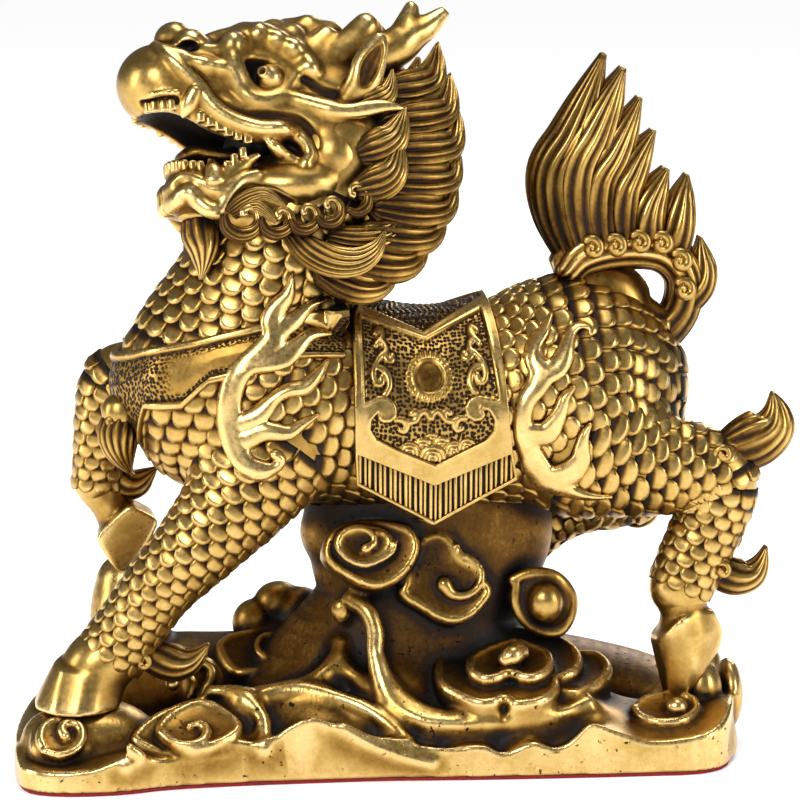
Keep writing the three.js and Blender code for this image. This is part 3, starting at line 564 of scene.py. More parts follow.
TRUNK = [
    [-58, 0, 94.5, 15.5, 13], [-49, 0, 93.5, 24.5, 21], [-34.5, 0, 91.5, 27.5, 25.5], [-15, 0, 87, 25, 25],
    [7.5, 0, 84.4, 24.4, 24], [29, 0, 87, 25.6, 25], [44, 0, 90, 28, 25], [56, 0, 90, 20, 18.5],
    [61, 0, 89.5, 11.5, 11],
]
NECK = [
    [-46, 0, 84, 16, 17], [-40, 0, 102, 23, 21], [-34, -0.5, 116, 21, 19.5],
    [-27.5, -1, 128.5, 18.5, 17.5], [-21.5, -1, 140.5, 17, 16.5], [-16, -1, 150.5, 14.5, 15],
]
NEAR_FORELEG = [
    [-33, -15, 80, 16, 12], [-41.5, -18, 68, 12.5, 10], [-52, -20, 56, 9.8, 9], [-61, -20, 46.5, 8.4, 8.2],
    [-68, -20, 37, 8, 8], [-73, -20, 30, 8.3, 8.3],
]
NEAR_FOREHOOF = [
    [-73.5, -20, 29.5, 8.2, 8.2], [-77.5, -20.4, 25.5, 8.6, 8.6], [-80, -20, 18, 8, 8.5],
    [-80, -19, 10, 8, 9],
]
FAR_FORELEG = [
    [-46, 11, 81, 13, 11], [-59, 16, 87.5, 11, 9.5], [-68.5, 18.5, 91, 9.3, 8.2],
    [-72.4, 19, 83, 7.6, 7.5], [-74.3, 19, 73, 6.4, 7], [-75.2, 19, 64.5, 6, 6.5],
]
FAR_FOREHOOF = [[-75.2, 19, 64, 5.8, 6], [-72.6, 19, 59.4, 4.8, 5.4], [-69.6, 19.4, 55, 5.6, 6.4]]
NEAR_HINDLEG = [
    [44.5, -14, 79, 19, 12], [57.5, -18, 74, 13, 9.5], [70.5, -19, 72.5, 10.5, 8.2],
    [78, -19, 69.5, 9, 7.6], [76, -19, 60.5, 8.5, 7.2], [72, -19, 51.5, 8.2, 7.2], [68, -19, 42, 7.8, 7.5],
]
NEAR_HINDHOOF = [[68, -19, 41.5, 7, 7], [69, -19.4, 36.4, 5.9, 6.2], [69.6, -19.4, 31, 7, 7]]
FAR_HINDLEG = [
    [42.5, 13, 76, 18, 12], [54, 18, 64, 11, 9], [62, 19, 57.5, 7, 7], [52, 19, 56, 6.5, 7],
    [41, 19, 52, 6.5, 7], [31, 20, 43, 6.5, 7],
]
FAR_HINDHOOF = [[30, 20, 42, 6.2, 6.8], [28, 20, 36, 6.6, 7]]
BODY_VOXEL = 0.8
BODY_BLEND = 5.0
BODY_MOST = 50000
LEGS = [NEAR_FORELEG, FAR_FORELEG, NEAR_HINDLEG, FAR_HINDLEG]
HOOVES = [NEAR_FOREHOOF, FAR_FOREHOOF, NEAR_HINDHOOF, FAR_HINDHOOF]


def skin_field():
    """The body without its scales, hooves or dress."""
    field = Field((-100, -40, 4), (96, 40, 170), BODY_VOXEL)
    for rows in (TRUNK, NECK, *LEGS):
        add_limb(field, rows, BODY_BLEND, 6)
    field.d = blurred(field.d, 1)
    return field


# Scales: rows of plates round the limbs, whose free ends point along them

CHEST = [
    [-43, 0, 66, 12, 14], [-42, 0, 76, 20, 19], [-41, 0, 88, 23.5, 21.5], [-39.5, 0, 101, 23.5, 21.5],
    *NECK[2:5],
]
RUMP = TRUNK + [[65, 0, 89.5, 10.2, 9.8], [69, 0, 89.5, 7, 6.5], [71.5, 0, 89.5, 2.5, 2.3]]
# The chain, whether its scales point back along it, a scale's length, how many stand round, and how
# far from the chain's own surface the skin may lie where they stand
SCALED = {
    "trunk": (RUMP, 1, 6.6, 29, 7.0),
    "neck": (CHEST, -1, 6.6, 26, 4.5),
    "near_foreleg": (NEAR_FORELEG, 1, 5.2, 12, 4.5),
    "far_foreleg": (FAR_FORELEG, 1, 5.0, 10, 4.5),
    "near_hindleg": (NEAR_HINDLEG, 1, 5.2, 11, 4.5),
    "far_hindleg": (FAR_HINDLEG, 1, 5.0, 10, 4.5),
}
ROW_PITCH = 0.58  # of a scale's length
SCALE_BROADER = 1.08  # than its share of the girth, so that neighbours touch
LEAST_ROUND = 6
PLATE_COLUMNS = 6
PLATE_ROWS = 4
FREE_EDGE = 0.54  # how far the corners of the free end are rounded off, of a scale's length
PLATE_ROOT = 0.16  # how deep its sides reach, of its length
END_ON = 0.985  # a scale is left out where the skin faces along the chain more than this


def chest_side(points):
    """More than nought for points of the chest and neck, less for those of the trunk."""
    return -44 + (points[:, 2] - 70) * 0.5 - points[:, 0]


def owner_of(limbs, points):
    """The name of the chain whose scales cover each point."""
    depths = []
    for name, limb in limbs.items():
        best = limb_away(limb, points)
        if name in ("trunk", "neck"):
            ahead = chest_side(points)
            wrong = ahead > 0 if name == "trunk" else ahead <= 0
            best = np.where(wrong, best + 30, np.minimum(best, 1.0))
        depths.append(best)
    return np.array(list(limbs))[np.argmin(depths, axis=0)]


def scale_places(field):
    """Where scales stand on each chain: points, outward and backward directions, and sizes."""
    limbs = {name: Limb(rows, 6) for name, (rows, *_) in SCALED.items()}
    places = {}
    for name, (_, sense, size, count, stray) in SCALED.items():
        limb = limbs[name]
        found = []
        profile = np.hypot(np.diff(limb.along), np.diff(limb.high))
        profile = np.concatenate([[0], np.cumsum(profile)])
        rows = np.arange(0.3 * size, profile[-1], size * ROW_PITCH)
        for number, along in enumerate(np.interp(rows, profile, limb.along)):
            girth = math.pi * (
                np.interp(along, limb.along, limb.high) + np.interp(along, limb.along, limb.wide)
            )
            round_it = count
            while girth / round_it < 0.8 * size and round_it > LEAST_ROUND:
                round_it -= 1
            turn = (np.arange(round_it) + 0.5 * (number % 2)) * 2 * math.pi / round_it
            spot, tangent = limb.surface(np.full(round_it, along), turn)
            moved = on_skin(field, spot, 3)
            normal = field.slope(moved)
            lean = (tangent * normal).sum(1)
            near = (np.linalg.norm(moved - spot, axis=1) < stray) & (lean < END_ON)
            back = sense * unit(tangent - normal * lean[:, None])
            width = np.full(round_it, SCALE_BROADER * girth / round_it)
            length = np.full(round_it, size)
            row = np.column_stack([moved, normal, back, width, length])
            found.append(row[near & (owner_of(limbs, moved) == name)])
        places[name] = np.concatenate(found)
    return places


def scale_plate():
    """One scale, 1 long and 1 wide, its free end at +Y, as points, faces and tone, with painted shadow at
    its root and sides, where the scales before it lie over it.
    """
    across, along = PLATE_COLUMNS, PLATE_ROWS
    points, tone_with_shadow = [], []
    for j in range(along + 1):
        for i in range(across + 1):
            s = 2 * i / across - 1
            t = j / along
            free = 1 - FREE_EDGE * (1 - math.sqrt(max(0.0, 1 - 0.93 * s * s)))
            edge = max(abs(s), t) ** 8
            points.append((0.5 * s, -0.5 + t * free, 0.04 * (1 - s * s) + 0.15 * t - 0.05 * edge))
            # Painted shadow: dark at the root, where the row before lies over it, and a little at the sides;
            # bright towards the free end.
            tone_with_shadow.append(0.08 + 0.77 * smooth_step(t - 0.1 * s * s, 0.18, 0.56) * (1 - 0.4 * s**8))
    faces = []
    row = across + 1
    for j in range(along):
        for i in range(across):
            k = j * row + i
            faces.append((k, k + 1, k + row + 1, k + row))
    rim = list(range(row))
    rim += [j * row + across for j in range(1, along + 1)]
    rim += [along * row + i for i in range(across - 1, -1, -1)]
    rim += [j * row for j in range(along - 1, 0, -1)]
    low = len(points)
    # Its sides down to the root are painted darkest: painted shade in the gaps between scales.
    for k in rim:
        x, y, _ = points[k]
        points.append((x * 0.98, y - 0.015, -PLATE_ROOT))
        tone_with_shadow.append(0.0)
    for i, k in enumerate(rim):
        after = (i + 1) % len(rim)
        faces.append((k, low + i, low + after, rim[after]))
    faces.append(tuple(low + i for i in range(len(rim))))
    return points, faces, tone_with_shadow


def stamps(name, places, plate, tree, finish):
    """The plate set down at each place, by the tree of stamped plates."""
    mesh = bpy.data.meshes.new(name + "_places")
    mesh.vertices.add(len(places))
    mesh.vertices.foreach_set("co", (places[:, :3] * MM).astype(np.float32).reshape(-1))
    for title, part in (("outward", places[:, 3:6]), ("backward", places[:, 6:9])):
        layer = mesh.attributes.new(title, "FLOAT_VECTOR", "POINT")
        layer.data.foreach_set("vector", part.astype(np.float32).reshape(-1))
    size = np.column_stack([places[:, 9], places[:, 10], places[:, 9]]) * MM
    layer = mesh.attributes.new("size", "FLOAT_VECTOR", "POINT")
    layer.data.foreach_set("vector", size.astype(np.float32).reshape(-1))
    return run_tree(name, mesh, tree, Plate=plate, Ruffle=0.05, Seed=7, Finish=finish)


def plate_thing(points, faces, tone_with_shadow):
    mesh = bpy.data.meshes.new("plate")
    mesh.from_pydata(points, [], faces)
    mesh.polygons.foreach_set("use_smooth", [True] * len(faces))
    paint(mesh, "relief", tone_with_shadow)
    return thing_of(mesh)


# Hooves: blocks with flat sides and softened edges, run into the ends of the legs

HOOF_VOXEL = 0.5
HOOF_MOST = 30000
# Corners of each hoof, whose faces are the flat sides of the hull round them
HOOF_CORNERS = [
    [[-93, -24, 16.4], [-88, -31, 16.4], [-82.6, -33, 16.4], [-77.3, -31.5, 16.4], [-71.5, -26, 16.6],
     [-70.5, -14, 18], [-76, -8.5, 18], [-86, -9, 18], [-92.5, -15, 17.4], [-87.6, -21, 28.6],
     [-85.9, -26.5, 28], [-81.2, -29, 27.1], [-76.6, -29, 25.8], [-71.2, -25, 24], [-69.5, -16, 26],
     [-74, -11.5, 29], [-84, -13, 29.5]],
    [[60.9, -14, 29.3], [61.1, -23, 30.3], [63.7, -26.5, 32.3], [66.2, -27.8, 36.1], [75.7, -23, 37.3],
     [77, -14, 36], [79.6, -19, 30.3], [79.2, -19.5, 26.5], [66, -12, 35], [64.3, -17, 13.4],
     [64.8, -22, 13.6], [68.7, -24, 13.6], [71.8, -23.5, 18], [71.4, -26.4, 24.1], [71, -15, 14],
     [76, -17.5, 21]],
    [[-76, 12, 50.8], [-74.7, 12, 53.9], [-67.5, 12, 60], [-60.5, 12, 56.2], [-59.8, 12, 54.4],
     [-64.3, 12, 45.8], [-68.5, 13, 41], [-71.8, 12, 43.5], [-75.6, 27, 50.8], [-67.5, 27, 59.4],
     [-60.6, 27, 55.4], [-65, 26, 45.8], [-68.5, 25, 41.6], [-71.6, 27, 44]],
    [[18, 13, 22], [18, 28, 22], [33, 13, 22], [33, 28, 22], [22, 14, 37], [22, 26, 37], [33, 14, 39],
     [33, 26, 39]],
]
HOOF_CRISP = 2.6  # how sharply two faces meet, each millimetre


def hull_planes(corners):
    """The planes round some corners: each one's outward direction and how far out it lies."""
    shape = bmesh.new()
    for corner in corners:
        shape.verts.new(corner)
    bmesh.ops.convex_hull(shape, input=shape.verts)
    middle = np.mean(corners, axis=0)
    planes = {}
    for face in shape.faces:
        a, b, c = (np.array(corner.co) for corner in face.verts[:3])
        normal = unit(np.cross(b - a, c - a))
        normal = normal if normal @ (a - middle) > 0 else -normal
        planes[tuple(np.round(normal, 1))] = (normal, normal @ a)
    shape.free()
    return planes.values()


def add_hull(field, corners, blend):
    corners = np.array(corners, float)
    cut, x, y, z = field.window(corners.min(axis=0) - 4, corners.max(axis=0) + 4)
    total = 0
    for normal, out in hull_planes(corners):
        away = normal[0] * x + normal[1] * y + normal[2] * z - out
        total = total + np.exp(np.minimum(HOOF_CRISP * away, 60))
    field.d[cut] = merged(field.d[cut], np.log(total) / HOOF_CRISP, blend)


def hooves(finish):
    field = Field((-98, -36, 3), (86, 34, 72), HOOF_VOXEL)
    for rows in HOOVES:
        add_limb(field, rows, 2.0, 6)
    for corners in HOOF_CORNERS:
        add_hull(field, corners, 1.2)
    made = meshed("hooves", field, HOOF_MOST, finish)
    wear_from_field(made, field)
    return made


# Head, drawn facing -X and symmetric about y = 0, then turned to the side

HEAD_PIVOT = (-22, 0, 145)
HEAD_TURN = 14
HEAD_TILT = 18
HEAD_VOXEL = 0.4
HEAD_MOST = 155000
UPPER_JAW = [
    [-22.5, 0, 162, 14, 14.5], [-35.5, 0, 166, 12.5, 13.8], [-46, 0, 167.5, 11, 13],
    [-54, 0, 168.5, 9.8, 12.4], [-59.4, 0, 168.4, 9.6, 11.6],
]
LIP_WALL = [
    [-62.6, -2, 164.6, 3, 3], [-60.8, -6, 164.2, 3.6, 3], [-58, -8.8, 163.2, 4, 2.6],
    [-53, -10, 161, 4.4, 2.5], [-48, -10.8, 157.6, 4.4, 2.5], [-42, -12, 154.2, 3.8, 2.7],
    [-35, -14, 152.4, 3.2, 3],
]
LOWER_JAW = [
    [-24.5, 0, 145, 10, 14.8], [-37, 0, 141.3, 8, 14], [-47, 0, 139.8, 7, 12.8],
    [-54, 0, 140.4, 6.4, 11.2],
]
CHEEK_WALL = [
    [-44, -9.5, 160, 3.5, 3.6], [-36, -10.5, 157.6, 4.4, 4.4], [-28, -11.6, 155.6, 4.8, 5],
    [-20, -12.4, 153.6, 4.6, 5],
]
PALATE = [
    [-62.5, 0, 157.6, 3.2, 7], [-57, 0, 157.5, 4.8, 8.4], [-50, 0, 155, 5, 9.2], [-42, 0, 151, 4.5, 10],
    [-36, 0, 149, 3, 10.4],
]
GULLET = [[-60, 0, 152.4, 3.4, 8], [-48, 0, 152.5, 4, 9.4], [-41, 0, 151, 3, 11]]
CROWN = [-16.5, 0, 159, 17, 16.5, 16.5]
CHEEK = [-19.6, -10.4, 147.2, 8.4, 8.4, 9.2]
JOWL = [-28, -9.4, 139.6, 12, 8.4, 6.4]
THROAT = [-29, 0, 147, 10, 12, 9]
MOUTH_BACK = [-37.5, 0, 151.5, 6, 10.5, 5.5]
TONGUE = [
    [-54.5, 0, 149.6, 1.8, 5], [-52, 0, 150, 2.5, 6.4], [-46, 0, 148.6, 2.8, 7.4], [-37, 0, 148.5, 3.4, 8],
]
LOWER_GUM = [
    [-57.2, 0, 145.2, 2.4, 1.6], [-56.6, -3.6, 144.8, 2.4, 1.6], [-54.6, -7.4, 144.2, 2.4, 1.7],
    [-50.5, -10.2, 142.6, 2.4, 1.9], [-46, -11.6, 143.6, 2.2, 1.9], [-41, -11.6, 146.4, 1.3, 1.2],
]
NOSE = [-53.8, 0, 178.8, 4.9, 5.6, 4.9]
NOSTRIL = [-51.2, -5.4, 176.6, 4.2, 3.6, 3.9]
NOSTRIL_HOLE = [-53.2, -8.8, 175.4, 2.6, 2.6, 1.7]
EYE = [-34.5, -12.5, 166.2, 3.4, 3.3, 3.4]
PUPIL_RING = [-36.7, -14.6, 167.2, 1.6]
PUPIL = [-37.5, -15.8, 167.5, 1.15]
EYE_SOCKET = [-37.6, -14.2, 166.4, 6.2, 4.8, 5.6]
HOOK_HOLLOW = [-30.8, -18.6, 148.2, 2.3, 2.6, 2.7]
CREST = [
    [-46, 0, 174.6, 3, 4], [-42, 0, 175.6, 3.6, 5], [-35, 0, 176.6, 4, 6], [-27, 0, 177.4, 4.6, 7],
    [-18, 0, 176, 6.5, 8],
]
CREST_KNOBS = [
    [-45.4, -2.6, 177.4, 2], [-41.6, -3.6, 177.6, 3], [-36.4, -3.2, 178.8, 3.6], [-33.4, -7, 178, 2.6],
    [-29, -3, 180, 2.9], [-25.6, -7.5, 177.6, 2.8], [-20.2, -3, 180.4, 3.4], [-13.8, -3.4, 178.6, 3],
    [-47.6, -6, 174.4, 1.7], [-24.4, 0, 181.2, 2.2],
]
BROW_KNOBS = [
    [-42.4, 175.8, 2.3], [-35, 178.4, 1.9], [-31, 176.2, 1.6], [-27.4, 173.6, 1.7], [-24.6, 168.4, 1.6],
]
# Ridges of the face: x, y, z, half height and how far they stand out, set on the flank
BROW = [
    [-42.6, -10, 171.8, 2.2, 2], [-41.4, -10, 174.6, 3.2, 3], [-37.5, -10, 176, 4.2, 4],
    [-32.5, -11, 175.4, 4.6, 4.4], [-28, -12, 173, 4.2, 4.2], [-25, -13, 170.2, 3.2, 3.4],
    [-23.8, -14, 167.4, 1.8, 2.2],
]
UNDER_EYE = [
    [-41.4, -12, 168.6, 0.8, 0.8], [-39.6, -14, 163.8, 1.2, 1], [-35.5, -15, 161.8, 1.2, 1],
    [-30.5, -15, 163.6, 1.1, 0.9], [-27.4, -15, 167.4, 0.7, 0.6],
]
WHISKER = [
    [-49, -8, 174.8, 0.8, 0.8], [-45.6, -9, 173.6, 1.2, 1.2], [-43.8, -10, 170.8, 1.4, 1.5],
    [-43.2, -11, 167.4, 1.5, 1.6], [-41.8, -13, 163.4, 1.6, 1.7], [-39.4, -14, 161, 1.5, 1.7],
    [-36, -15, 160.4, 1.5, 1.6], [-31.1, -16, 160.8, 1.5, 1.6], [-26, -17, 158.8, 1.6, 1.7],
    [-21.5, -17.6, 156.8, 1.7, 1.8],
]
WHISKER_TIP = [
    [-28, -14.8, 159.8, 1, 1], [-21.5, -17, 156.8, 2.1, 2.1], [-17, -18.4, 155.9, 2, 1.9],
    [-12.6, -19.6, 156.2, 2.1, 1.6], [-8, -20.8, 156.4, 1.5, 1.1], [-3.4, -21.4, 155.4, 0.4, 0.4],
]
NOSE_FOLD = [
    [-58.6, -7, 175.2, 0.8, 0.9], [-55.6, -9, 172.6, 1.3, 1.3], [-53, -10, 171.2, 1, 1.2],
    [-50.6, -10, 170.2, 1.5, 1.5], [-48.4, -10, 169.8, 1.1, 1.2], [-46.4, -10, 169.2, 1.3, 1.4],
    [-44.4, -10, 168.8, 1, 1.2],
]
UPPER_LIP = [
    [-60.2, -5, 177, 0.8, 0.9], [-59, -9, 172.9, 1, 1.2], [-56.8, -10.5, 169.8, 1.1, 1.3],
    [-54.4, -11.5, 167.1, 1.2, 1.4], [-52.2, -12, 164.4, 1.4, 1.6], [-50.5, -12.8, 161, 1.6, 1.8],
    [-47.8, -13.2, 157.6, 1.7, 1.9], [-43.4, -14, 154.8, 1.7, 1.9], [-38.7, -15, 153, 1.6, 1.9],
    [-34.5, -16, 152.6, 1.5, 1.9], [-30.8, -17, 151.6, 1.5, 1.9], [-28.2, -17.6, 149.4, 1.5, 1.8],
    [-27.4, -17.8, 146.4, 1.4, 1.7], [-28.8, -17.8, 144.2, 1.2, 1.5],
]
CORNER_LEAF = [
    [-38.6, -15, 151, 0.4, 0.6], [-36.4, -16, 148.6, 1.4, 1.6], [-33.4, -16.6, 146.8, 1.8, 2.2],
    [-31.2, -17, 145.4, 1.3, 1.8], [-29.6, -17.4, 144.2, 0.4, 0.6],
]
LOWER_LIP = [
    [-60, 0, 141, 1.3, 1.2], [-59.2, -5, 141.6, 1.2, 1.2], [-58.2, -8, 143, 1.1, 1.1],
    [-56.7, -10.5, 143.5, 1.1, 1.2], [-54.1, -11.5, 141.8, 1.1, 1.2], [-51.6, -12.5, 139.4, 1.2, 1.3],
    [-49.8, -13, 139.5, 1.2, 1.3], [-48.1, -13.5, 141.9, 1.1, 1.2], [-44.9, -14, 144.8, 1, 1.2],
    [-41.9, -15, 146.4, 0.9, 1.1], [-39.3, -15.5, 147.2, 0.6, 0.8],
]
CHIN_ROLL = [
    [-59.6, 0, 137.8, 1.8, 1.5], [-58.8, -5, 138.2, 1.7, 1.5], [-57.6, -9, 139.2, 1.5, 1.5],
    [-56.6, -11.5, 139.2, 1.5, 1.5], [-55.1, -12.5, 137.4, 1.6, 1.7], [-52.9, -13.5, 134.9, 1.7, 1.8],
    [-50.6, -14, 134.4, 1.7, 1.8], [-48.8, -14.5, 136.4, 1.5, 1.6], [-46.7, -15, 139.4, 1.3, 1.4],
    [-43.8, -15.5, 141.7, 1.1, 1.1], [-40.5, -16, 142.6, 0.8, 0.8],
]
FACE_RIDGES = [NOSE_FOLD, WHISKER, UNDER_EYE, UPPER_LIP, LOWER_LIP, CHIN_ROLL]
# Troughs: x, y, z and how deep they go, cut into the flank
TROUGHS = [
    [[-57.6, -9, 175.4, 0.9], [-54.8, -11, 171, 1], [-51.8, -12.6, 166.6, 1.1], [-49, -14, 161.8, 1.2],
     [-46, -14, 159, 1.2], [-41.5, -15, 156.8, 1.2], [-36.1, -16, 156.4, 1.1], [-31, -17, 155.6, 1.1],
     [-27.4, -18, 152.8, 1], [-25.8, -18.5, 148.6, 0.9], [-26.8, -18.5, 144.6, 0.8]],
    [[-60.4, -7, 141.6, 0.7], [-57, -11, 141.7, 0.8], [-54.4, -12, 139.8, 0.8], [-52, -13, 137.2, 0.8],
     [-50.2, -13.5, 136.9, 0.8], [-48.2, -14.5, 139.6, 0.8], [-44.6, -15, 143.2, 0.7],
     [-40.6, -15, 144.8, 0.6]],
    [[-47.5, -14, 136.2, 1], [-43, -15, 138.6, 0.8], [-38, -15.5, 137.6, 0.8], [-33, -16, 134.8, 1]],
    [[-14.6, -17, 153, 1], [-13.8, -17, 148, 1.2], [-15.5, -17, 142, 1.2], [-18, -17, 137.6, 1]],
    [[-26.5, -16, 165.6, 1], [-22, -17, 162, 1.3], [-17, -18, 160, 1.3]],
]
UPPER_CANINE = [[-53.6, -12, 163.4, 1.9, 1.5], [-55.2, -12, 160.4, 2.1, 1.7], [-56.4, -12, 158.3, 1, 1]]
LOWER_CANINE = [[-50.7, -11, 141.6, 3, 2.2], [-50.6, -11, 144.4, 2.1, 1.8], [-50.3, -10.6, 147.2, 0.7, 0.8]]
TEETH_RECESS = [
    [-64.8, -3, 161.8, 1.5], [-63.6, -7, 161.6, 1.5], [-61, -10, 161.5, 1.5], [-58.6, -12, 161.6, 1.2],
]
TEETH_FRAME = [
    [-64, 0, 160.2, 0.5], [-64.8, -3.2, 161.4, 0.55], [-64.8, -3.8, 163.8, 0.55], [-62.4, -8, 163.8, 0.5],
    [-58, -10, 163.6, 0.5],
]
INCISORS_UPPER = [[-63.9, -5.6, 161.4], [-62.6, -7.4, 161.2], [-60.9, -9, 161], [-59.2, -10.2, 160.8]]
INCISORS_LOWER = [
    [-58.3, -1, 147.4], [-58, -2.9, 147.3], [-57.4, -4.8, 147], [-56.3, -6.6, 146.6], [-54.9, -8.1, 146.1],
    [-53.3, -9.3, 145.6],
]
MOLARS_UPPER = [[-52.8, 157.2], [-50.7, 155.9], [-48.6, 154.6], [-46.5, 153.2], [-44.4, 152], [-42.3, 151]]
MOLARS_LOWER = [[-47.4, -11.9, 144.9], [-45.5, -12.4, 146.4], [-43.4, -13, 147.8]]
TOOTH_HALF = (0.7, 0.75, 1.25)
MOLAR_HALF = (0.78, 0.9, 1.1)
ANTLER = [
    [[-19, -8, 170.2, 5.4], [-11.8, -9, 172.2, 5.1], [-4.4, -10, 171.8, 5.2], [1.5, -11, 174.4, 4.4],
     [2.8, -11.5, 178.6, 3], [4.4, -12, 182.6, 1.9]],
    [[1, -11, 174.4, 4.2], [7.4, -12, 177.6, 3.2], [12, -12.5, 180.8, 1.9]],
    [[-14.4, -9.5, 172, 4.2], [-9.6, -10, 176.4, 4], [-7.4, -10.4, 178.6, 3.6]],
    [[-22, -9, 173, 3.6], [-17.5, -8.6, 177, 2.6]],
]
EAR = [
    [-16.4, -15, 159, 2.8, 2.4], [-12.4, -17.6, 163.4, 4.2, 2.6], [-10.6, -18.6, 167.6, 4.2, 2.4],
    [-8.6, -19.4, 171.4, 3, 2], [-7.6, -20, 173.6, 1.7, 1.2],
]
EAR_HOLLOW = [
    [-13, -20.4, 162.6, 1.5, 1.3], [-11.2, -21.2, 166.4, 2.4, 2], [-9.2, -21.6, 169.6, 1.5, 1.5],
    [-8.2, -21.6, 171.4, 0.5, 0.7],
]
MANE_CORE = [[0, 0, 165, 7, 9], [-0.5, 0, 149.5, 10, 13], [-6, 0, 134.5, 10, 13], [-17, 0, 122, 7, 10]]
CHIN_CORE = [[-44, 0, 134, 5, 10], [-33, 0, 133, 7, 12], [-22, 0, 132, 8, 13]]
FACE_BLEND = 3.0
RIDGE_BLEND = 1.6
RIDGE_HIGHER = 1.25
RIDGE_FURTHER = 1.2
BROW_BLEND = 2.4
CREST_BLEND = 3.2


def radii_of(row):
    """A ball's three radii, listed after its middle as one or three."""
    return (row[3:] * 3)[:3]


def add_ball(field, row, blend=0.0, join=merged):
    (x0, y0, z0), (rx, ry, rz) = row[:3], radii_of(row)
    middle, radii, margin = np.array(row[:3]), np.array(radii_of(row)), max(2.0, 1.5 * blend)
    cut, x, y, z = field.window(middle - radii - margin, middle + radii + margin)
    u, v, w = (x - x0) / rx, (y - y0) / ry, (z - z0) / rz
    reach = np.sqrt(u * u + v * v + w * w) + 1e-4
    steep = np.sqrt((u / rx) ** 2 + (v / ry) ** 2 + (w / rz) ** 2) + 1e-5
    field.d[cut] = join(field.d[cut], (reach - 1) * reach / steep, blend)


def cut_ball(field, row, blend=0.0):
    add_ball(field, row, blend, cut_out)


def on_flank(field, rows, sunk=0.0):
    """The rows moved in y onto the -Y side of what the field holds, sunk by a share of their size."""
    placed = []
    for x, y, z, *size in rows:
        i = int(round((x - field.lo[0]) / field.voxel))
        k = int(round((z - field.lo[2]) / field.voxel))
        solid = np.nonzero(field.d[i, :, k] < 0)[0]
        if len(solid) and solid[0] > 0:
            j = solid[0]
            before, after = field.d[i, j - 1, k], field.d[i, j, k]
            flank = field.axes[1][j] - field.voxel * after / (after - before)
            y = np.clip(flank, y - 3.2, y + 2.6) + sunk * size[-1]
        placed.append([x, y, z, *size])
    return placed


def add_tooth(field, place, half):
    """A small rounded block that stands on the gum."""
    cut, x, y, z = field.window(np.array(place) - 4, np.array(place) + 4)
    px, py, pz = (np.abs(a - b) - h for a, b, h in zip((x, y, z), place, half))
    outside = np.sqrt(np.maximum(px, 0) ** 2 + np.maximum(py, 0) ** 2 + np.maximum(pz, 0) ** 2)
    found = outside + np.minimum(np.maximum(px, np.maximum(py, pz)), 0) - 0.15
    field.d[cut] = merged(field.d[cut], found, 0.1)


def add_jaws(field):
    add_limb(field, UPPER_JAW, 0, 6)
    add_limb(field, LIP_WALL, 3.0, 6)
    add_limb(field, CHEEK_WALL, 2.4, 6)
    add_limb(field, LOWER_JAW, 1.5, 6)
    for row in (CROWN, THROAT):
        add_ball(field, row, FACE_BLEND)
    for rows in (CHIN_CORE, MANE_CORE, CREST):
        add_limb(field, rows, FACE_BLEND)
    cut_limb(field, PALATE, 0.8)
    cut_limb(field, GULLET, 0.8)
    for row in (CHEEK, JOWL):
        add_ball(field, row, 2.4)


def add_mouth(field):
    add_ball(field, MOUTH_BACK, 1.0)
    add_limb(field, TONGUE, 0.5, 6)
    add_limb(field, LOWER_GUM, 0.8, 6)
    cut_limb(field, on_flank(field, TEETH_RECESS), 0.3)
    add_limb(field, on_flank(field, TEETH_FRAME[2:]), 0.2)
    add_limb(field, TEETH_FRAME[:3], 0.2)
    for place in INCISORS_UPPER + INCISORS_LOWER + MOLARS_LOWER:
        add_tooth(field, place, TOOTH_HALF)
    for x, z in MOLARS_UPPER:
        (place,) = on_flank(field, [[x, -13, z, 0.6]], 0.5)
        add_tooth(field, place[:3], MOLAR_HALF)
    for rows in (UPPER_CANINE, LOWER_CANINE):
        add_limb(field, on_flank(field, rows, 0.3), 0.3, 6)


def add_face(field):
    troughs = [on_flank(field, rows) for rows in TROUGHS]
    size = [1, 1, 1, RIDGE_HIGHER, RIDGE_FURTHER]
    ridges = [on_flank(field, (np.array(rows) * size).tolist(), 0.15) for rows in FACE_RIDGES]
    brow = on_flank(field, BROW, 0.3)
    leaf = on_flank(field, CORNER_LEAF, 0.2)
    for rows in troughs:
        cut_limb(field, rows, 1.0, 6)
    cut_ball(field, EYE_SOCKET, 1.2)
    for rows in ridges:
        add_limb(field, rows, RIDGE_BLEND, 6)
    cut_ball(field, HOOK_HOLLOW, 0.5)
    add_limb(field, leaf, 0.6, 6)
    add_limb(field, WHISKER_TIP, 1.6, 6)
    add_limb(field, brow, BROW_BLEND, 6)
    for x, z, radius in BROW_KNOBS:
        (place,) = on_flank(field, [[x, -11.5, z, radius]], 0.35)
        add_ball(field, place, BROW_BLEND)
    add_ball(field, EYE, 0.3)
    add_ball(field, PUPIL_RING, 0.4)
    cut_ball(field, PUPIL, 0.15)
    add_ball(field, NOSE, 1.0)
    add_ball(field, NOSTRIL, 1.4)
    cut_ball(field, NOSTRIL_HOLE, 0.7)
    field.d = blurred(field.d, 1)


def head_field():
    """The -Y half of the head, a little past the middle plane."""
    field = Field((-73, -25.2, 116), (19, HEAD_VOXEL * 2, 188), HEAD_VOXEL)
    add_jaws(field)
    add_face(field)
    add_mouth(field)
    for row in CREST_KNOBS:
        add_ball(field, row, CREST_BLEND)
    for rows in ANTLER:
        add_limb(field, rows, 1.8, 6)
    add_limb(field, EAR, 1.0, 6)
    cut_limb(field, EAR_HOLLOW, 0.4, 6)
    return field


def both_halves(field):
    """The field with its -Y half repeated on the +Y side."""
    middle = int(round(-field.lo[1] / field.voxel))
    half = field.d[:, :middle + 1]
    field.d = np.concatenate([half, half[:, -2::-1]], axis=1)
    return field


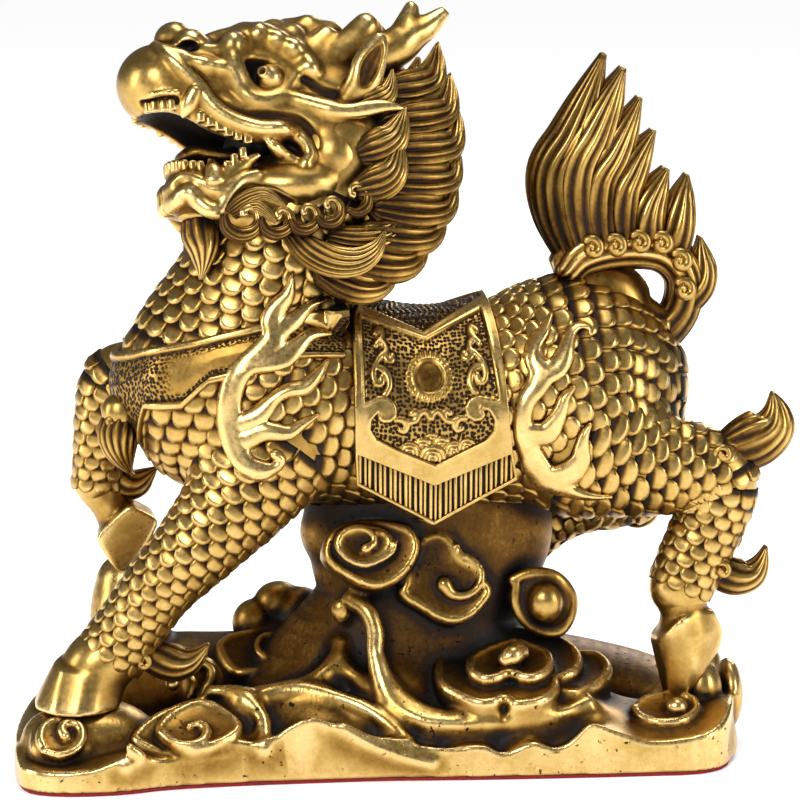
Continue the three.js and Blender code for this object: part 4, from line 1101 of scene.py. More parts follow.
def head_matrix():
    pivot = Vector(HEAD_PIVOT)
    return (
        Matrix.Translation(pivot)
        @ Matrix.Rotation(math.radians(HEAD_TURN), 4, "Z")
        @ Matrix.Rotation(math.radians(-HEAD_TILT), 4, "X")
        @ Matrix.Translation(-pivot)
    )


def turned(points):
    """Points of the head as it is drawn, carried to where it stands."""
    matrix = np.array(head_matrix())
    return points @ matrix[:3, :3].T + matrix[:3, 3]


def turn_head(thing):
    coordinates = turned(points_of(thing.data)) * MM
    thing.data.vertices.foreach_set("co", coordinates.astype(np.float32).reshape(-1))
    thing.data.update()
    return thing


def darkened(points):
    """How dark the hollows of the head lie, by their own forms: 1 is darkest, 0 lies outside them."""
    points = points * 1.0
    points[:, 1] = -np.abs(points[:, 1])
    dark = np.zeros(len(points))
    for row in (PUPIL, NOSTRIL_HOLE, HOOK_HOLLOW):
        reach = np.linalg.norm((points - row[:3]) / radii_of(row), axis=1)
        dark = np.maximum(dark, 1 - smooth_step(reach, 0.85, 1.25))
    for rows, full in ((PALATE, 0.8), (GULLET, 0.6), (EAR_HOLLOW, 0.6)):
        dark = np.maximum(dark, full * (1 - smooth_step(limb_away(Limb(rows), points), 0.1, 0.9)))
    return dark


def head(finish):
    field = both_halves(head_field())
    made = meshed("head", field, HEAD_MOST, finish)
    wear_from_field(made, field, 1.0, 3.0)
    dim_by(made.data, darkened(points_of(made.data)))
    return turn_head(made), field


# Hair of the head: locks of the mane, curls and locks under the jaw, and the beard

MANE = [
    [[-7.5, -14, 160.6], [2, -12.5, 162], [8.5, -9.5, 165.6], [12, -6.5, 174.6]],
    [[-8.5, -16, 153], [3.5, -14, 154.4], [10.6, -10.5, 157.6], [13.9, -7.5, 166.4]],
    [[-9.5, -17, 145.6], [3.5, -15, 146.4], [10.8, -11.5, 149.4], [14.2, -8.5, 158.4]],
    [[-11, -17, 138.4], [2.5, -15, 138.4], [9.2, -11.5, 141.2], [12.8, -8.5, 150.2]],
    [[-13, -17, 132], [0, -15, 131.2], [7.2, -11.5, 133.8], [11.2, -8.5, 142.4]],
    [[-16, -16, 126], [-3.5, -14, 125.2], [3.4, -11, 127.6], [7.6, -8.5, 135.4]],
    [[-21, -15, 120.6], [-9, -13, 119.2], [-2, -10.5, 121.4], [3.2, -8, 129.4]],
    [[-26.7, -12, 118.4], [-17.5, -11, 115], [-10.4, -9, 116], [-5.2, -7, 121.4]],
]
MANE_WIDTH = 5.2
MANE_THICK = 4.8
MANE_FULL = [0.66, 1, 1.04, 0.9, 0.6, 0.08]
INNER_LOCKS = [
    [[[-15, -17.5, 145], [-10.5, -19.6, 146.6], [-6.4, -20.4, 149.6], [-3.4, -20, 156]], 4.6],
    [[[-17, -17.5, 136.4], [-11.4, -19.6, 138], [-7.8, -20.4, 141.4], [-5.6, -20, 148.4]], 4.6],
    [[[-14.5, -15.8, 157], [-9.5, -18, 158.6], [-6, -17.8, 161], [-4.4, -17, 166.2]], 3],
    [[[-33.4, -13.4, 127.4], [-29.6, -16.6, 121.8], [-22.5, -18.8, 118.6], [-15.9, -19.8, 120.4],
      [-11.8, -19.6, 125.8]],
      3.9],
    [[[-48.4, -13, 133.6], [-44, -15, 136.4], [-39.3, -16.4, 136.6], [-35, -17, 132.6]], 1.9],
    [[[-47.4, -13, 132.6], [-43.2, -15.6, 134.2], [-40.2, -16.6, 132.2], [-38.4, -17, 129.4]], 1.7],
    [[[-24, -14, 126], [-17, -17, 124.6], [-9, -16.6, 126.4], [-4.4, -15, 131.6]], 3.4],
]
# A hooked curl about its knob: x and z from the knob, and half width
CURL = [
    [-5.4, 0.4, 1], [-5, -2.7, 1.7], [-2.3, -4.6, 2], [1, -4.2, 1.8], [3.1, -2, 1.45], [3, 0.7, 1.1],
    [1.3, 1.9, 0.9], [-0.3, 1.1, 0.95], [-0.3, 0, 1.15],
]
# Its knobs under the jaw: x, y, z, size and how far it is turned
JAW_CURLS = [
    [-45.3, -16.6, 132, 1, 0], [-37.2, -17.6, 131.2, 0.86, 8], [-30.7, -18.6, 131.4, 0.8, 22],
    [-24.9, -19.6, 132.6, 0.78, 38], [-18.3, -20.4, 135.2, 0.8, 62],
]
BEARD = [
    [-53.6, -1.5, 134.4, 3.7, 3.7], [-52.8, -1.5, 130.8, 4.7, 4.3], [-52.3, -1.5, 127, 4, 3.9],
    [-52.8, -1.5, 123, 2.3, 2.3], [-53.7, -1.5, 119.4, 0.4, 0.4],
]
BEARD_KNOT = [[-53.6, -1.5, 138.2, 3, 3.4], [-53.6, -1.5, 136, 4, 4.4], [-53.6, -1.5, 134.4, 3.8, 4.2]]


def curl_rows(place, side):
    """Sections of a hooked curl whose knob is at x, y, z."""
    x, y, z, size, turn = place
    cos, sin = math.cos(math.radians(turn)), math.sin(math.radians(turn))
    rows = []
    for dx, dz, half in CURL:
        rise = 0.5 * (1 - half / 2.0)
        rows.append([
            x + size * (dx * cos - dz * sin),
            side * (-y - 1.2 + rise * size),
            z + size * (dx * sin + dz * cos),
            half * size,
            half * size * 0.9,
        ])
    return rows


def head_hair(finish):
    heap = Heap()
    for side in (-1, 1):
        for points in MANE:
            lock = mirrored(points, side)
            add_lock(heap, lock, MANE_WIDTH, MANE_THICK, 14, MANE_FULL, around=66, depth=0.4)
        for points, width in INNER_LOCKS:
            lock = mirrored(points, side)
            add_lock(heap, lock, width, 0.7 * width, 16, MANE_FULL, around=72, depth=0.28)
        for place in JAW_CURLS:
            add_tube(heap, curl_rows(place, side), 40, 5, strands=12, depth=0.13, fade=0.55)
    add_tube(heap, BEARD_KNOT, 24, 5)
    add_tube(heap, BEARD, 72, 8, strands=11, depth=0.12)
    return turn_head(heap.thing("head_hair", finish))


# Tail: a stem of hair that bends up off the rump, the plume that rises from it, and its curls

TAIL_STEM = [
    [58, 0, 98, 6, 6], [65, 0, 102.5, 5.4, 6.5], [70.6, 0, 109, 5, 6.5], [71.5, 0, 118, 5.2, 7],
    [66, 0, 124.5, 6, 7.5], [56, 0, 126, 6.5, 8], [46, 0, 124, 6.5, 8], [41, 0, 119, 5, 7],
]
TAIL_ROOT = [
    [45, 0, 111, 8, 8], [51, 0, 113.6, 9, 8], [55.4, 0, 112, 8.4, 7.4], [59, 0, 108.4, 6.4, 6.8],
    [63, 0, 106, 6, 6.5], [67, 0, 105.5, 5, 6.5],
]
PLUME = [
    [[[44, 0, 122], [37.8, 0, 141], [44, 0, 156], [50.6, 0, 173.5]], 6.8, 7, 16],
    [[[47, -3, 124], [43.6, -3, 142], [49.5, -3, 156.5], [55.4, -1.5, 170]], 6.2, 5, 14],
    [[[51, -3.5, 125], [49, -3.5, 140], [54.3, -3, 151], [59.6, -1.5, 162.6]], 5.2, 5, 12],
    [[[56, -3.5, 127], [55, -4, 138], [58.3, -3, 146], [63.2, -1.5, 154.4]], 4.8, 5, 12],
    [[[62, -3.5, 126], [61.6, -3.5, 134.4], [66.5, -2.5, 145]], 4.8, 5, 12],
    [[[68, -3, 122], [69.2, -3, 129], [70.4, -2, 136], [71.8, -1, 143.3]], 4.4, 4.5, 10],
    [[[71, -2.5, 109], [76.2, -2, 117.4], [75.4, -1, 127.6]], 3.8, 4, 10],
]
PLUME_FULL = [0.62, 0.92, 1, 0.9, 0.62, 0.12]
TAIL_CURLS = [[47.2, 126], [53, 126.4], [59, 127.2], [64.6, 126.8], [69.4, 122.4], [70.4, 115.2]]


def tail(finish):
    heap = Heap()
    add_tube(heap, TAIL_STEM, 60, 6, strands=12, depth=0.12)
    add_tube(heap, TAIL_ROOT, 24, 4, strands=6, depth=0.1)
    for side in (-1, 1):
        for points, width, thick, strands in PLUME:
            lock = mirrored(points, side)
            add_lock(heap, lock, width, thick, strands, PLUME_FULL, around=56, steps=7, depth=0.2)
        for x, z in TAIL_CURLS:
            at = [x, side * 7.0, z]
            rows = spiral_rows(at, 2.6, 1.1, math.radians(140), 1.25, 1.6, 1.2, hand=-1)
            add_tube(heap, rows, 10, 2)
    return heap.thing("tail", finish)


# Tufts behind the joints, with a curl at the root, and the tassel on the chest

TUFTS = [
    [[[76, -19, 75], [86, -19, 79], [91.4, -19, 84], [90.6, -19, 91]], 7.2, 5, 14],
    [[[74, -19, 47.4], [81, -19, 44.6], [87, -19, 45.8], [89.6, -19, 52.2]], 4.8, 4.2, 10],
    [[[-68, -20, 31], [-60, -20, 27], [-54, -20, 27.2], [-49.6, -20, 31.2]], 4.8, 4.2, 10],
    [[[59, 19, 57], [65, 19, 54], [70, 19, 57]], 5, 4, 10],
    [[[-73, 19, 67], [-66, 19, 64], [-60, 19, 68]], 4.5, 4, 10],
]
TUFT_CURLS = [[[77.6, -24.4, 47.4], 2.4], [[-66, -25.4, 28.2], 2.4], [[77, -26, 77], 2.2]]
TASSEL_CAP = [
    [-69.6, -4, 91.4, 1, 1], [-69.8, -4, 89.6, 3.6, 3.4], [-70, -4.2, 87, 4.6, 4.2],
    [-70, -4.4, 84.6, 4.2, 4.2],
]
TASSEL = [
    [-70, -4.3, 86.2, 3.8, 4], [-70.6, -4.6, 81.6, 5.2, 5], [-69.8, -4.4, 76.6, 4, 3.8],
    [-67.8, -4, 71.4, 0.7, 0.7],
]


def tufts_and_tassel(finish):
    heap = Heap()
    for points, width, thick, strands in TUFTS:
        add_lock(heap, points, width, thick, strands)
    for at, radius in TUFT_CURLS:
        rows = spiral_rows(at, radius, 1.15, math.radians(200), 0.8, 1.1, 0.6, hand=-1)
        add_tube(heap, rows, 8, 2)
    add_tube(heap, TASSEL_CAP, 24, 5)
    for side in (-1.9, 1.9):
        curl = [-72.4, -5.4 + side, 84.8]
        add_tube(heap, spiral_rows(curl, 1.2, 1.0, 0, 0.6, 0.9, 0.5), 8, 2)
    add_tube(heap, TASSEL, 64, 8, strands=16, depth=0.15)
    return heap.thing("tufts_and_tassel", finish)


# Flat patterns, in side view

def line_distance(points, line, closed=False):
    """The distance from points x, z to a line of points, inside and outside alike."""
    line = np.array(line, float)
    ends = np.roll(line, -1, axis=0) if closed else line[1:]
    starts = line if closed else line[:-1]
    best = np.full(len(points), 1e9)
    for a, b in zip(starts, ends):
        step = b - a
        part = np.clip(((points - a) @ step) / max(step @ step, 1e-9), 0, 1)
        best = np.minimum(best, np.hypot(*(points - a - part[:, None] * step).T))
    return best


def inside(points, line):
    x, z = points.T
    line = np.array(line, float)
    found = np.zeros(len(points), bool)
    for (x0, z0), (x1, z1) in zip(line, np.roll(line, -1, axis=0)):
        crosses = (z0 > z) != (z1 > z)
        at = x0 + (z - z0) / (z1 - z0 if z1 != z0 else 1e-9) * (x1 - x0)
        found ^= crosses & (x < at)
    return found


def line_at(line, x):
    """The height at x of a line that runs to the right."""
    return np.interp(x, *np.array(line).T)


def edge_at(line, z):
    """The place at height z of a line that runs downwards."""
    return np.interp(z, *np.array(line)[::-1, ::-1].T)


def outline_distance(points, line):
    """The distance from points x, z to an outline, negative inside."""
    away = line_distance(points, line, True)
    return np.where(inside(points, line), -away, away)


def smooth_step(value, low, high):
    part = np.clip((value - low) / (high - low), 0, 1)
    return part * part * (3 - 2 * part)


# Saddle cloth: a sheet over the trunk whose pattern is raised from it, and whose hem hangs plumb

CLOTH_THICK = 2.4
CLOTH_WIDE = 39.0
PATTERN_HIGH = 0.85
CLOTH_LEFT = [[-15.2, 125], [-14.6, 113], [-13.9, 78], [-13.6, 71]]
CLOTH_RIGHT = [[21.4, 125], [22, 113], [24.4, 79], [25.7, 71.8]]
CLOTH_HEM = [[-13.6, 71.6], [5.4, 61.2], [25.7, 72.2]]
FRAME_FOOT = [[-14.3, 79.6], [5.5, 70.9], [24.6, 78.7]]  # where the fringe starts
FIELD = [
    [-11.5, 110.4], [4.2, 104.8], [18.9, 111.2], [21.2, 92], [18.3, 92.4], [15.8, 92.8], [13.9, 91.9],
    [12.9, 89.9], [13.4, 87.7], [15.1, 86.6], [16.8, 86.8], [18, 88.1], [17.1, 89.6], [18.8, 89.1],
    [20.1, 86.9], [19.8, 84.4], [17.8, 82], [5.7, 76.1], [-4, 80.3], [-8.9, 83.1], [-10.3, 85.3],
    [-10.1, 87.5], [-8.5, 89.3], [-8.5, 87.7], [-7.3, 86.8], [-5.5, 86.8], [-4, 88.1], [-3.8, 90],
    [-4.7, 91.8], [-6.4, 93], [-8.4, 93.2], [-11.7, 91.8],
]
BORDER_TOP = [[-15, 114.1], [3.9, 106.5], [22, 114]]
SUN = [4.5, 97.1]
SUN_BOSS = 3.2
SUN_RING = 4.1
SUN_EDGE = 5.9
SUN_PETALS = 13
# Scrolls on the left; the right side holds their mirror image about the sun's middle
SCROLLS = [
    [[-7.3, 105.7], [-6.2, 104.7], [-5.9, 103.2], [-7.1, 102.4], [-8.3, 101.1], [-9.2, 99.2], [-9.2, 97.2],
     [-8.4, 96], [-7.3, 96.3], [-7.3, 97.4]],
    [[-8.3, 99.9], [-6.4, 98.9], [-5.5, 97.1], [-5.5, 95.2], [-6.7, 93.3]],
    [[-8.3, 104.7], [-7.3, 105.7], [-6.4, 106.9], [-7, 107.8], [-8, 107.3]],
    [[-6.4, 102.7], [-5.5, 101.4], [-4.5, 101.3], [-4.4, 102.2]],
    [[-4, 87.5], [-2.3, 87.3], [-0.6, 86.7], [0.9, 87.2], [1.4, 88.5], [0.6, 89.2], [-0.2, 88.7]],
    [[1.4, 88.3], [2.8, 89.2], [4, 88.6], [4.3, 87.6]],
    [[-2.3, 87.2], [-1.4, 85.8], [-2, 84.6], [-3, 84.9]],
]
SCROLL_HALF = 0.85
WAVES = [
    [4.7, 81.7, 2.4], [2.6, 80.3, 2.8], [7.2, 80.5, 2.8], [-0.8, 79, 3], [10.2, 79, 3], [13.4, 80.2, 2.4],
    [4.9, 77.4, 3.8],
]
WAVE_LINE = 0.95
CORD_COUNT = 31
CORD_WIDTH = 0.86
CORD_UNEVEN = 0.12  # in place and in width
FRINGE_ENDS = (-12.9, 24.3)
CLOTH_STRAIGHT = 0.27  # the share of the grid's rows that each hanging part takes
CLOTH_SPLIT = 0.53  # the share of the way over that the near rows take
CLOTH_COLUMNS = 140
CLOTH_NEAR_ROWS = 215
CLOTH_FAR_ROWS = 120


def sun_relief(away, turn):
    """The height and the tone of the sun disc: a dark boss, a bright ring and a ring of petals."""
    boss = 0.55 * np.clip(1 - (away / SUN_BOSS) ** 4, 0, 1)
    ring = 0.75 * np.exp(-((away - SUN_RING) / 0.5) ** 2)
    petal = np.abs(np.cos(SUN_PETALS * turn))
    beyond = smooth_step(SUN_EDGE + 0.35 * petal - away, 0, 0.5) * (away > SUN_RING + 0.3)
    height = np.maximum(np.maximum(boss, ring), 0.62 * beyond * petal**0.5)
    tone = np.where(away < SUN_BOSS + 0.1, 0.4, 0.45 + 0.55 * height)
    return height, tone, away < SUN_EDGE


def line_relief(points):
    """The height of the scrolls and waves drawn in the field, and the painted shadow round the scrolls."""
    drawn, scroll_shadow = np.zeros(len(points)), np.zeros(len(points))
    mirror = points * [-1, 1] + [2 * SUN[0], 0]
    for rows in SCROLLS:
        curve = smooth_through(rows, 4)
        for side in (points, mirror):
            near = line_distance(side, curve) / SCROLL_HALF
            drawn = np.maximum(drawn, 0.8 * np.clip(1.15 - near**3, 0, 1))
            scroll_shadow = np.maximum(scroll_shadow, 1 - smooth_step(near, 1.1, 1.7))
    waves = np.zeros(len(points))
    held = np.zeros(len(points), bool)
    for x, z, radius in WAVES:
        reach = np.hypot(points[:, 0] - x, points[:, 1] - z)
        within = (reach < radius) & (points[:, 1] > z - 0.6)
        arcs = 0.2 + 0.55 * np.abs(np.sin(reach / WAVE_LINE * math.pi + 0.5 * math.pi))
        arcs = np.where(radius - reach < 0.25, 0.1, arcs)
        waves = np.where(within, arcs, waves)
        held |= within
    return drawn, scroll_shadow, waves, held


def cloth_relief(points):
    """How far the cloth's pattern stands up, its tone with painted shadow at the foot of the raised frame,
    round the scrolls and behind the fringe, and how much it is punched.
    """
    frame = outline_distance(points, FIELD)
    x, z = points.T
    over, foot, hem = (z - line_at(line, x) for line in (BORDER_TOP, FRAME_FOOT, CLOTH_HEM))
    side = np.minimum(x - edge_at(CLOTH_LEFT, z), edge_at(CLOTH_RIGHT, z) - x)
    raised = smooth_step(frame, -0.3, 0.15) + 0.18 * np.exp(-((frame - 0.45) / 0.3) ** 2)
    # Painted shadow in a band along the foot of the raised frame.
    tone = 0.34 + 0.5 * raised - 0.25 * np.exp(-((frame + 0.25) / 0.3) ** 2)
    away, turn = np.hypot(*(points - SUN).T), np.arctan2(*(points - SUN).T[::-1])
    sun, sun_tone, in_sun = sun_relief(away, turn)
    drawn, scroll_shadow, waves, in_waves = line_relief(points)
    field = (frame < -0.25) & (over < 0)
    ground = np.maximum(drawn, np.where(in_waves, waves, 0.0))
    raised = np.where(field, np.where(in_sun, sun, ground), raised)
    line_tone = np.where(in_waves & (drawn < 0.1), 0.3 + 0.9 * waves, 0.5 + 0.45 * drawn)
    # The ground is painted darker round the scrolls: painted shadow.
    tone = np.where(field & (ground > 0.05), line_tone, np.where(field, 0.7 - 0.45 * scroll_shadow, tone))
    tone = np.where(field & in_sun, sun_tone, tone)
    punched = np.where(field & ~in_sun & (drawn < 0.08) & ~in_waves, 1.0, 0.0)
    rough = np.abs(np.sin(x * 2.1 + 1.4 * np.sin(z * 2.6)) * np.sin(z * 3.1))
    back = smooth_step(over, 0.1, 0.5) * smooth_step(side, 1.6, 1.9)
    raised = raised * (1 - back) + back * 0.35 * rough
    tone = tone * (1 - back) + back * (0.25 + 0.45 * rough)
    punched = punched * (1 - back) + 0.7 * back
    # The strip behind the fringe is sunk and painted near black: painted shade between the cords.
    under = smooth_step(-foot, 0.0, 0.25) * smooth_step(hem, 0.75, 1.0) * smooth_step(side, 0.5, 0.7)
    raised = raised * (1 - under) - 0.5 * under
    tone = tone * (1 - under) + 0.05 * under
    return raised, tone, punched


def patch_faces(rows, columns):
    """Quads of a grid, then its rim down to a second, inner rim, and a back that closes it."""
    k = np.arange(rows * columns).reshape(rows, columns)
    quads = [np.stack([k[:-1, :-1], k[:-1, 1:], k[1:, 1:], k[1:, :-1]], -1).reshape(-1, 4)]
    rim = np.concatenate([k[0], k[1:, -1], k[-1, -2::-1], k[-2:0:-1, 0]])
    low = rows * columns + np.arange(len(rim))
    quads.append(np.stack([rim, low, np.roll(low, -1), np.roll(rim, -1)], -1))
    right = low[columns - 1:columns + rows - 1]
    left = np.concatenate([low[:1], low[:columns * 2 + rows - 4:-1]])
    quads.append(np.stack([left[:-1], left[1:], right[1:], right[:-1]], -1))
    ends = [low[:columns][::-1][None, :], low[columns + rows - 2:2 * columns + rows - 2][::-1][None, :]]
    return quads, ends, rim


PATCH_SUNK = 2.4  # how far a patch's edges reach into the body


def add_patch(heap, skin, grid, lift, relief, normal=None):
    """A sheet over a grid of points, lifted off it, and closed inside the body."""
    rows, columns, _ = grid.shape
    flat = grid.reshape(-1, 3)
    outward = skin.slope(flat) if normal is None else normal
    points = flat + outward * lift.reshape(-1, 1)
    quads, ends, rim = patch_faces(rows, columns)
    foot = on_skin(skin, flat[rim], 8)
    points = np.concatenate([points, foot - skin.slope(foot) * PATCH_SUNK])
    shade = np.concatenate([relief.reshape(-1), np.zeros(len(rim))])
    heap.add(points, quads + ends, shade)


def on_skin(skin, points, rounds):
    """The points moved onto the skin, in that many steps."""
    for _ in range(rounds):
        points = points - skin.slope(points) * skin.at(points)[:, None]
    return points


def trunk_at(x):
    """The height of the trunk's middle, its half height and its half width at x."""
    limb = Limb(TRUNK, 6)
    return [np.interp(x, limb.at[:, 0], part) for part in (limb.at[:, 2], limb.high, limb.wide)]


def cloth_grid(skin):
    """The surface the cloth lies on, the trunk's top half and plumb walls below it, as points from
    the near hem over the back to the far hem, and their outward directions."""
    near_rows = np.linspace(0, CLOTH_SPLIT, CLOTH_NEAR_ROWS, endpoint=False)
    down = np.concatenate([near_rows, np.linspace(CLOTH_SPLIT, 1, CLOTH_FAR_ROWS)])[:, None]
    part = np.linspace(0, 1, CLOTH_COLUMNS)
    hung = np.minimum(down, 1 - down) < CLOTH_STRAIGHT
    turn = (1 - 2 * (down - CLOTH_STRAIGHT) / (1 - 2 * CLOTH_STRAIGHT)) * math.pi / 2
    turn = np.clip(turn, -math.pi / 2, math.pi / 2)
    drop = np.clip(1 - np.minimum(down, 1 - down) / CLOTH_STRAIGHT, 0, 1)
    x = np.tile(CLOTH_LEFT[-1][0] + part * CLOTH_WIDE, (len(down), 1))
    for _ in range(3):
        middle, high = trunk_at(x)[:2]
        hanging = middle + (line_at(CLOTH_HEM, x) - middle) * drop
        z = np.where(hung, hanging, middle + high * np.cos(turn))
        left, right = edge_at(CLOTH_LEFT, z), edge_at(CLOTH_RIGHT, z)
        x = left + part * (right - left)
    y = -trunk_at(x)[2] * np.sin(turn)
    points = np.stack([x, y, z], -1)
    laid = on_skin(skin, points.reshape(-1, 3), 3).reshape(points.shape)
    points = np.where(hung[..., None], points, laid)
    plumb = np.zeros_like(points)
    plumb[..., 1] = np.sign(y)
    outward = skin.slope(points.reshape(-1, 3)).reshape(points.shape)
    share = smooth_step(drop, 0, 0.25)[..., None]
    return points, unit(outward * (1 - share) + plumb * share)


def saddle_cloth(skin, finish, tree):
    grid, outward = cloth_grid(skin)
    shape = grid.shape[:2]
    lifted = (grid + outward * CLOTH_THICK).reshape(-1, 3)
    raised, tone, punched = cloth_relief(lifted[:, [0, 2]])
    heap = Heap()
    lift = (CLOTH_THICK + PATTERN_HIGH * raised).reshape(shape)
    add_patch(heap, skin, grid, lift, np.clip(tone, 0, 1).reshape(shape), outward.reshape(-1, 3))
    made = heap.thing("saddle_cloth", finish)
    paint_punched(made.data, grid, punched)
    return [made, fringe(finish, tree)]


def paint_punched(mesh, grid, punched):
    """Keeps how much each point is punched, and its place on the sheet in millimetres."""
    along = np.linalg.norm(np.diff(grid, axis=1), axis=-1).cumsum(axis=1)
    up = np.linalg.norm(np.diff(grid, axis=0), axis=-1).mean(axis=1).cumsum()
    across = np.concatenate([np.zeros((len(grid), 1)), along], axis=1)
    height = np.repeat(np.concatenate([[0], up])[:, None], grid.shape[1], axis=1)
    for name, values in (("punched", punched), ("across", across), ("height", height)):
        kept = np.zeros(len(mesh.vertices))
        kept[:punched.size] = values.reshape(-1)
        paint(mesh, name, kept)


def fringe(finish, tree):
    """The cords along the cloth's hem, on both flanks."""
    number = np.arange(CORD_COUNT)
    x = np.linspace(*FRINGE_ENDS, CORD_COUNT) + CORD_UNEVEN * np.sin(2.3 * number)
    width = CORD_WIDTH + CORD_UNEVEN * np.sin(3.7 * number)
    top = line_at(FRAME_FOOT, x) + 0.15
    foot = line_at(CLOTH_HEM, x) + 0.75
    rows = []
    for side in (-1, 1):
        for a, b, c, wide in zip(x, top, foot, width):
            y = side * (trunk_at(a)[2] + CLOTH_THICK + 0.02)
            rows.append([a, y, (b + c) / 2, 0, side, 0, 0, 0, -1, wide, b - c])
    heap = Heap()
    add_tube(heap, [[0, -0.5, 0, 0.5, 0.5], [0, 0.5, 0, 0.5, 0.5]], 8, 3)
    spot = heap.points[0] * [1, 0.93, 1]
    cord = thing_of(mesh_of("cord", spot / MM, heap.faces))
    paint(cord.data, "relief", np.clip(0.4 + 1.0 * spot[:, 2], 0, 1))
    made = stamps("fringe", np.array(rows), cord, tree, finish)
    bpy.data.objects.remove(cord)
    return made


# Band round the chest, with plain rims and a zigzag lower edge

BAND_TOP = [
    [-66.6, 0, 99.6], [-66.1, -4, 100.5], [-59.3, -15, 104.2], [-51.1, -21, 107.4], [-39.2, -25, 111],
    [-27.1, -25, 113], [-15, -24, 114.2],
]
BAND_FOOT = [
    [-66, 0, 77.6], [-65.3, -8, 79], [-63, -14, 89.2], [-54.8, -20, 90.1], [-49.4, -24, 96.4],
    [-41.7, -25, 98.1], [-38.9, -26, 102.1], [-15, -26, 104.2],
]
BAND_THICK = 1.15
BAND_RIM = (1.8, 2.3)  # where its slope starts and ends, from the band's edge
BAND_SWELL = 0.4
BAND_COLUMNS = 150
BAND_ROWS = 46


def evenly(points, count):
    points = np.array(points, float)
    along = np.concatenate([[0], np.cumsum(np.linalg.norm(np.diff(points, axis=0), axis=1))])
    where = np.linspace(0, along[-1], count)
    return np.stack([np.interp(where, along, points[:, k]) for k in range(3)], -1)


def chest_band(skin, finish):
    top, foot = (evenly(edge, BAND_COLUMNS) for edge in (BAND_TOP, BAND_FOOT))
    top, foot = (np.concatenate([edge[::-1], edge[1:] * [1, -1, 1]]) for edge in (top, foot))
    part = np.linspace(0, 1, BAND_ROWS)[:, None, None]
    grid = foot[None] + (top - foot)[None] * part
    flat = on_skin(skin, grid.reshape(-1, 3), 6)
    grid = flat.reshape(grid.shape)
    across = np.linalg.norm(grid[-1] - grid[0], axis=-1)
    edge = np.minimum(part[..., 0], 1 - part[..., 0]) * across
    rim = (1 - smooth_step(edge, *BAND_RIM)) * smooth_step(edge, -0.1, 0.6)
    swell = BAND_SWELL * smooth_step(edge, BAND_RIM[1], 7)
    lift = BAND_THICK + rim + swell
    shade = FLAT_RELIEF + 0.26 * rim - 0.36 * np.exp(-((edge - 2.4) / 0.4) ** 2)
    heap = Heap()
    add_patch(heap, skin, grid, lift, np.broadcast_to(shade, grid.shape[:2]))
    made = heap.thing("chest_band", finish)
    x = flat[:, 0]
    dots = smooth_step(x, -40, -34) + 0.9 * np.exp(-((edge.reshape(-1) - 3.0) / 0.7) ** 2)
    dots = np.maximum(dots, 1 - smooth_step(x, -62, -56)) * (edge.reshape(-1) > 2.4)
    paint_punched(made.data, grid, dots)
    return made


# Flames over the shoulder and hip: x, z and half width along each tongue

SHOULDER_FLAME = [
    [[-36.5, 75.9, 1.8], [-41, 77.8, 2.1], [-43.8, 83.6, 2.4], [-44.5, 90.3, 2.4], [-43.5, 96.2, 2.3],
     [-40.8, 100.6, 2.3], [-36.5, 104, 2.5], [-33.2, 107.6, 2.6], [-33.6, 111.6, 2.4], [-32, 114.8, 1.9],
     [-29.6, 117.6, 1.4], [-28.4, 122.2, 0.3]],
    [[-31, 109.8, 2], [-27.4, 111.8, 1.6], [-24, 114.5, 1], [-20.4, 115.6, 0.3]],
    [[-37.6, 101.6, 1.9], [-31.4, 102.9, 2.2], [-27.6, 105.3, 1.8], [-24, 107.9, 1.2], [-18.8, 107.8, 0.3]],
    [[-41.7, 87.3, 1.9], [-37.2, 89.6, 1.9], [-33.5, 93.3, 1.3], [-30, 95.2, 1.4], [-26.2, 95.8, 1.5],
     [-23.3, 98.3, 1.2], [-20.3, 101.8, 0.3]],
    [[-41, 83.6, 2.2], [-36, 85.5, 1.9], [-30.3, 85, 1.4], [-27, 86.8, 1], [-23, 89, 0.3]],
    [[-38, 75.9, 1.9], [-35.6, 76, 1.5], [-33, 77, 1.1], [-32.2, 78.6, 1], [-33.6, 79.8, 1]],
]
HIP_FLAME = [
    [[35.4, 111.3, 0.3], [33.5, 108, 0.9], [30.8, 104.7, 1.4], [30.2, 101.4, 1.9], [31.8, 98, 2.4],
     [30.6, 94.8, 2.2], [28.2, 91.4, 1.9], [27.2, 87.3, 1.8], [27.5, 83, 2.1], [29, 78.5, 2.3],
     [30.8, 74.6, 2.7], [33.2, 71.4, 2.5], [36, 69.8, 2.2], [40, 68, 1.4], [44, 67, 0.9], [49, 67, 0.3]],
    [[32, 97.6, 2.4], [35.4, 99, 2.1], [37.6, 101.9, 1.8], [38.7, 105, 1.3], [39.9, 107.5, 0.9],
     [41.9, 108.8, 0.6], [44.2, 108.4, 0.5], [44.4, 106.9, 0.3]],
    [[28.8, 83, 2.4], [32.7, 83, 2.4], [35, 85.9, 1.8], [36.6, 89.4, 1.3], [37.4, 92, 1], [39.8, 94.6, 0.3]],
    [[33.2, 71, 2.7], [38, 72.4, 2.7], [41.2, 76.2, 2], [41.6, 79.6, 1.4], [42.2, 82.8, 0.9],
     [43.6, 85.4, 0.3]],
]
FLAME_WIDER = 1.18
FLAME_ADDED = 0.2  # to each half width
FLAME_SUNK = 1.2
FLAME_MOST = 14000
FLAME_THICK = 2.5
FLAME_EDGE = 0.86  # the share of its thickness that its edges have
FLAME_DOME = 0.14
FLAME_VOXEL = 0.4


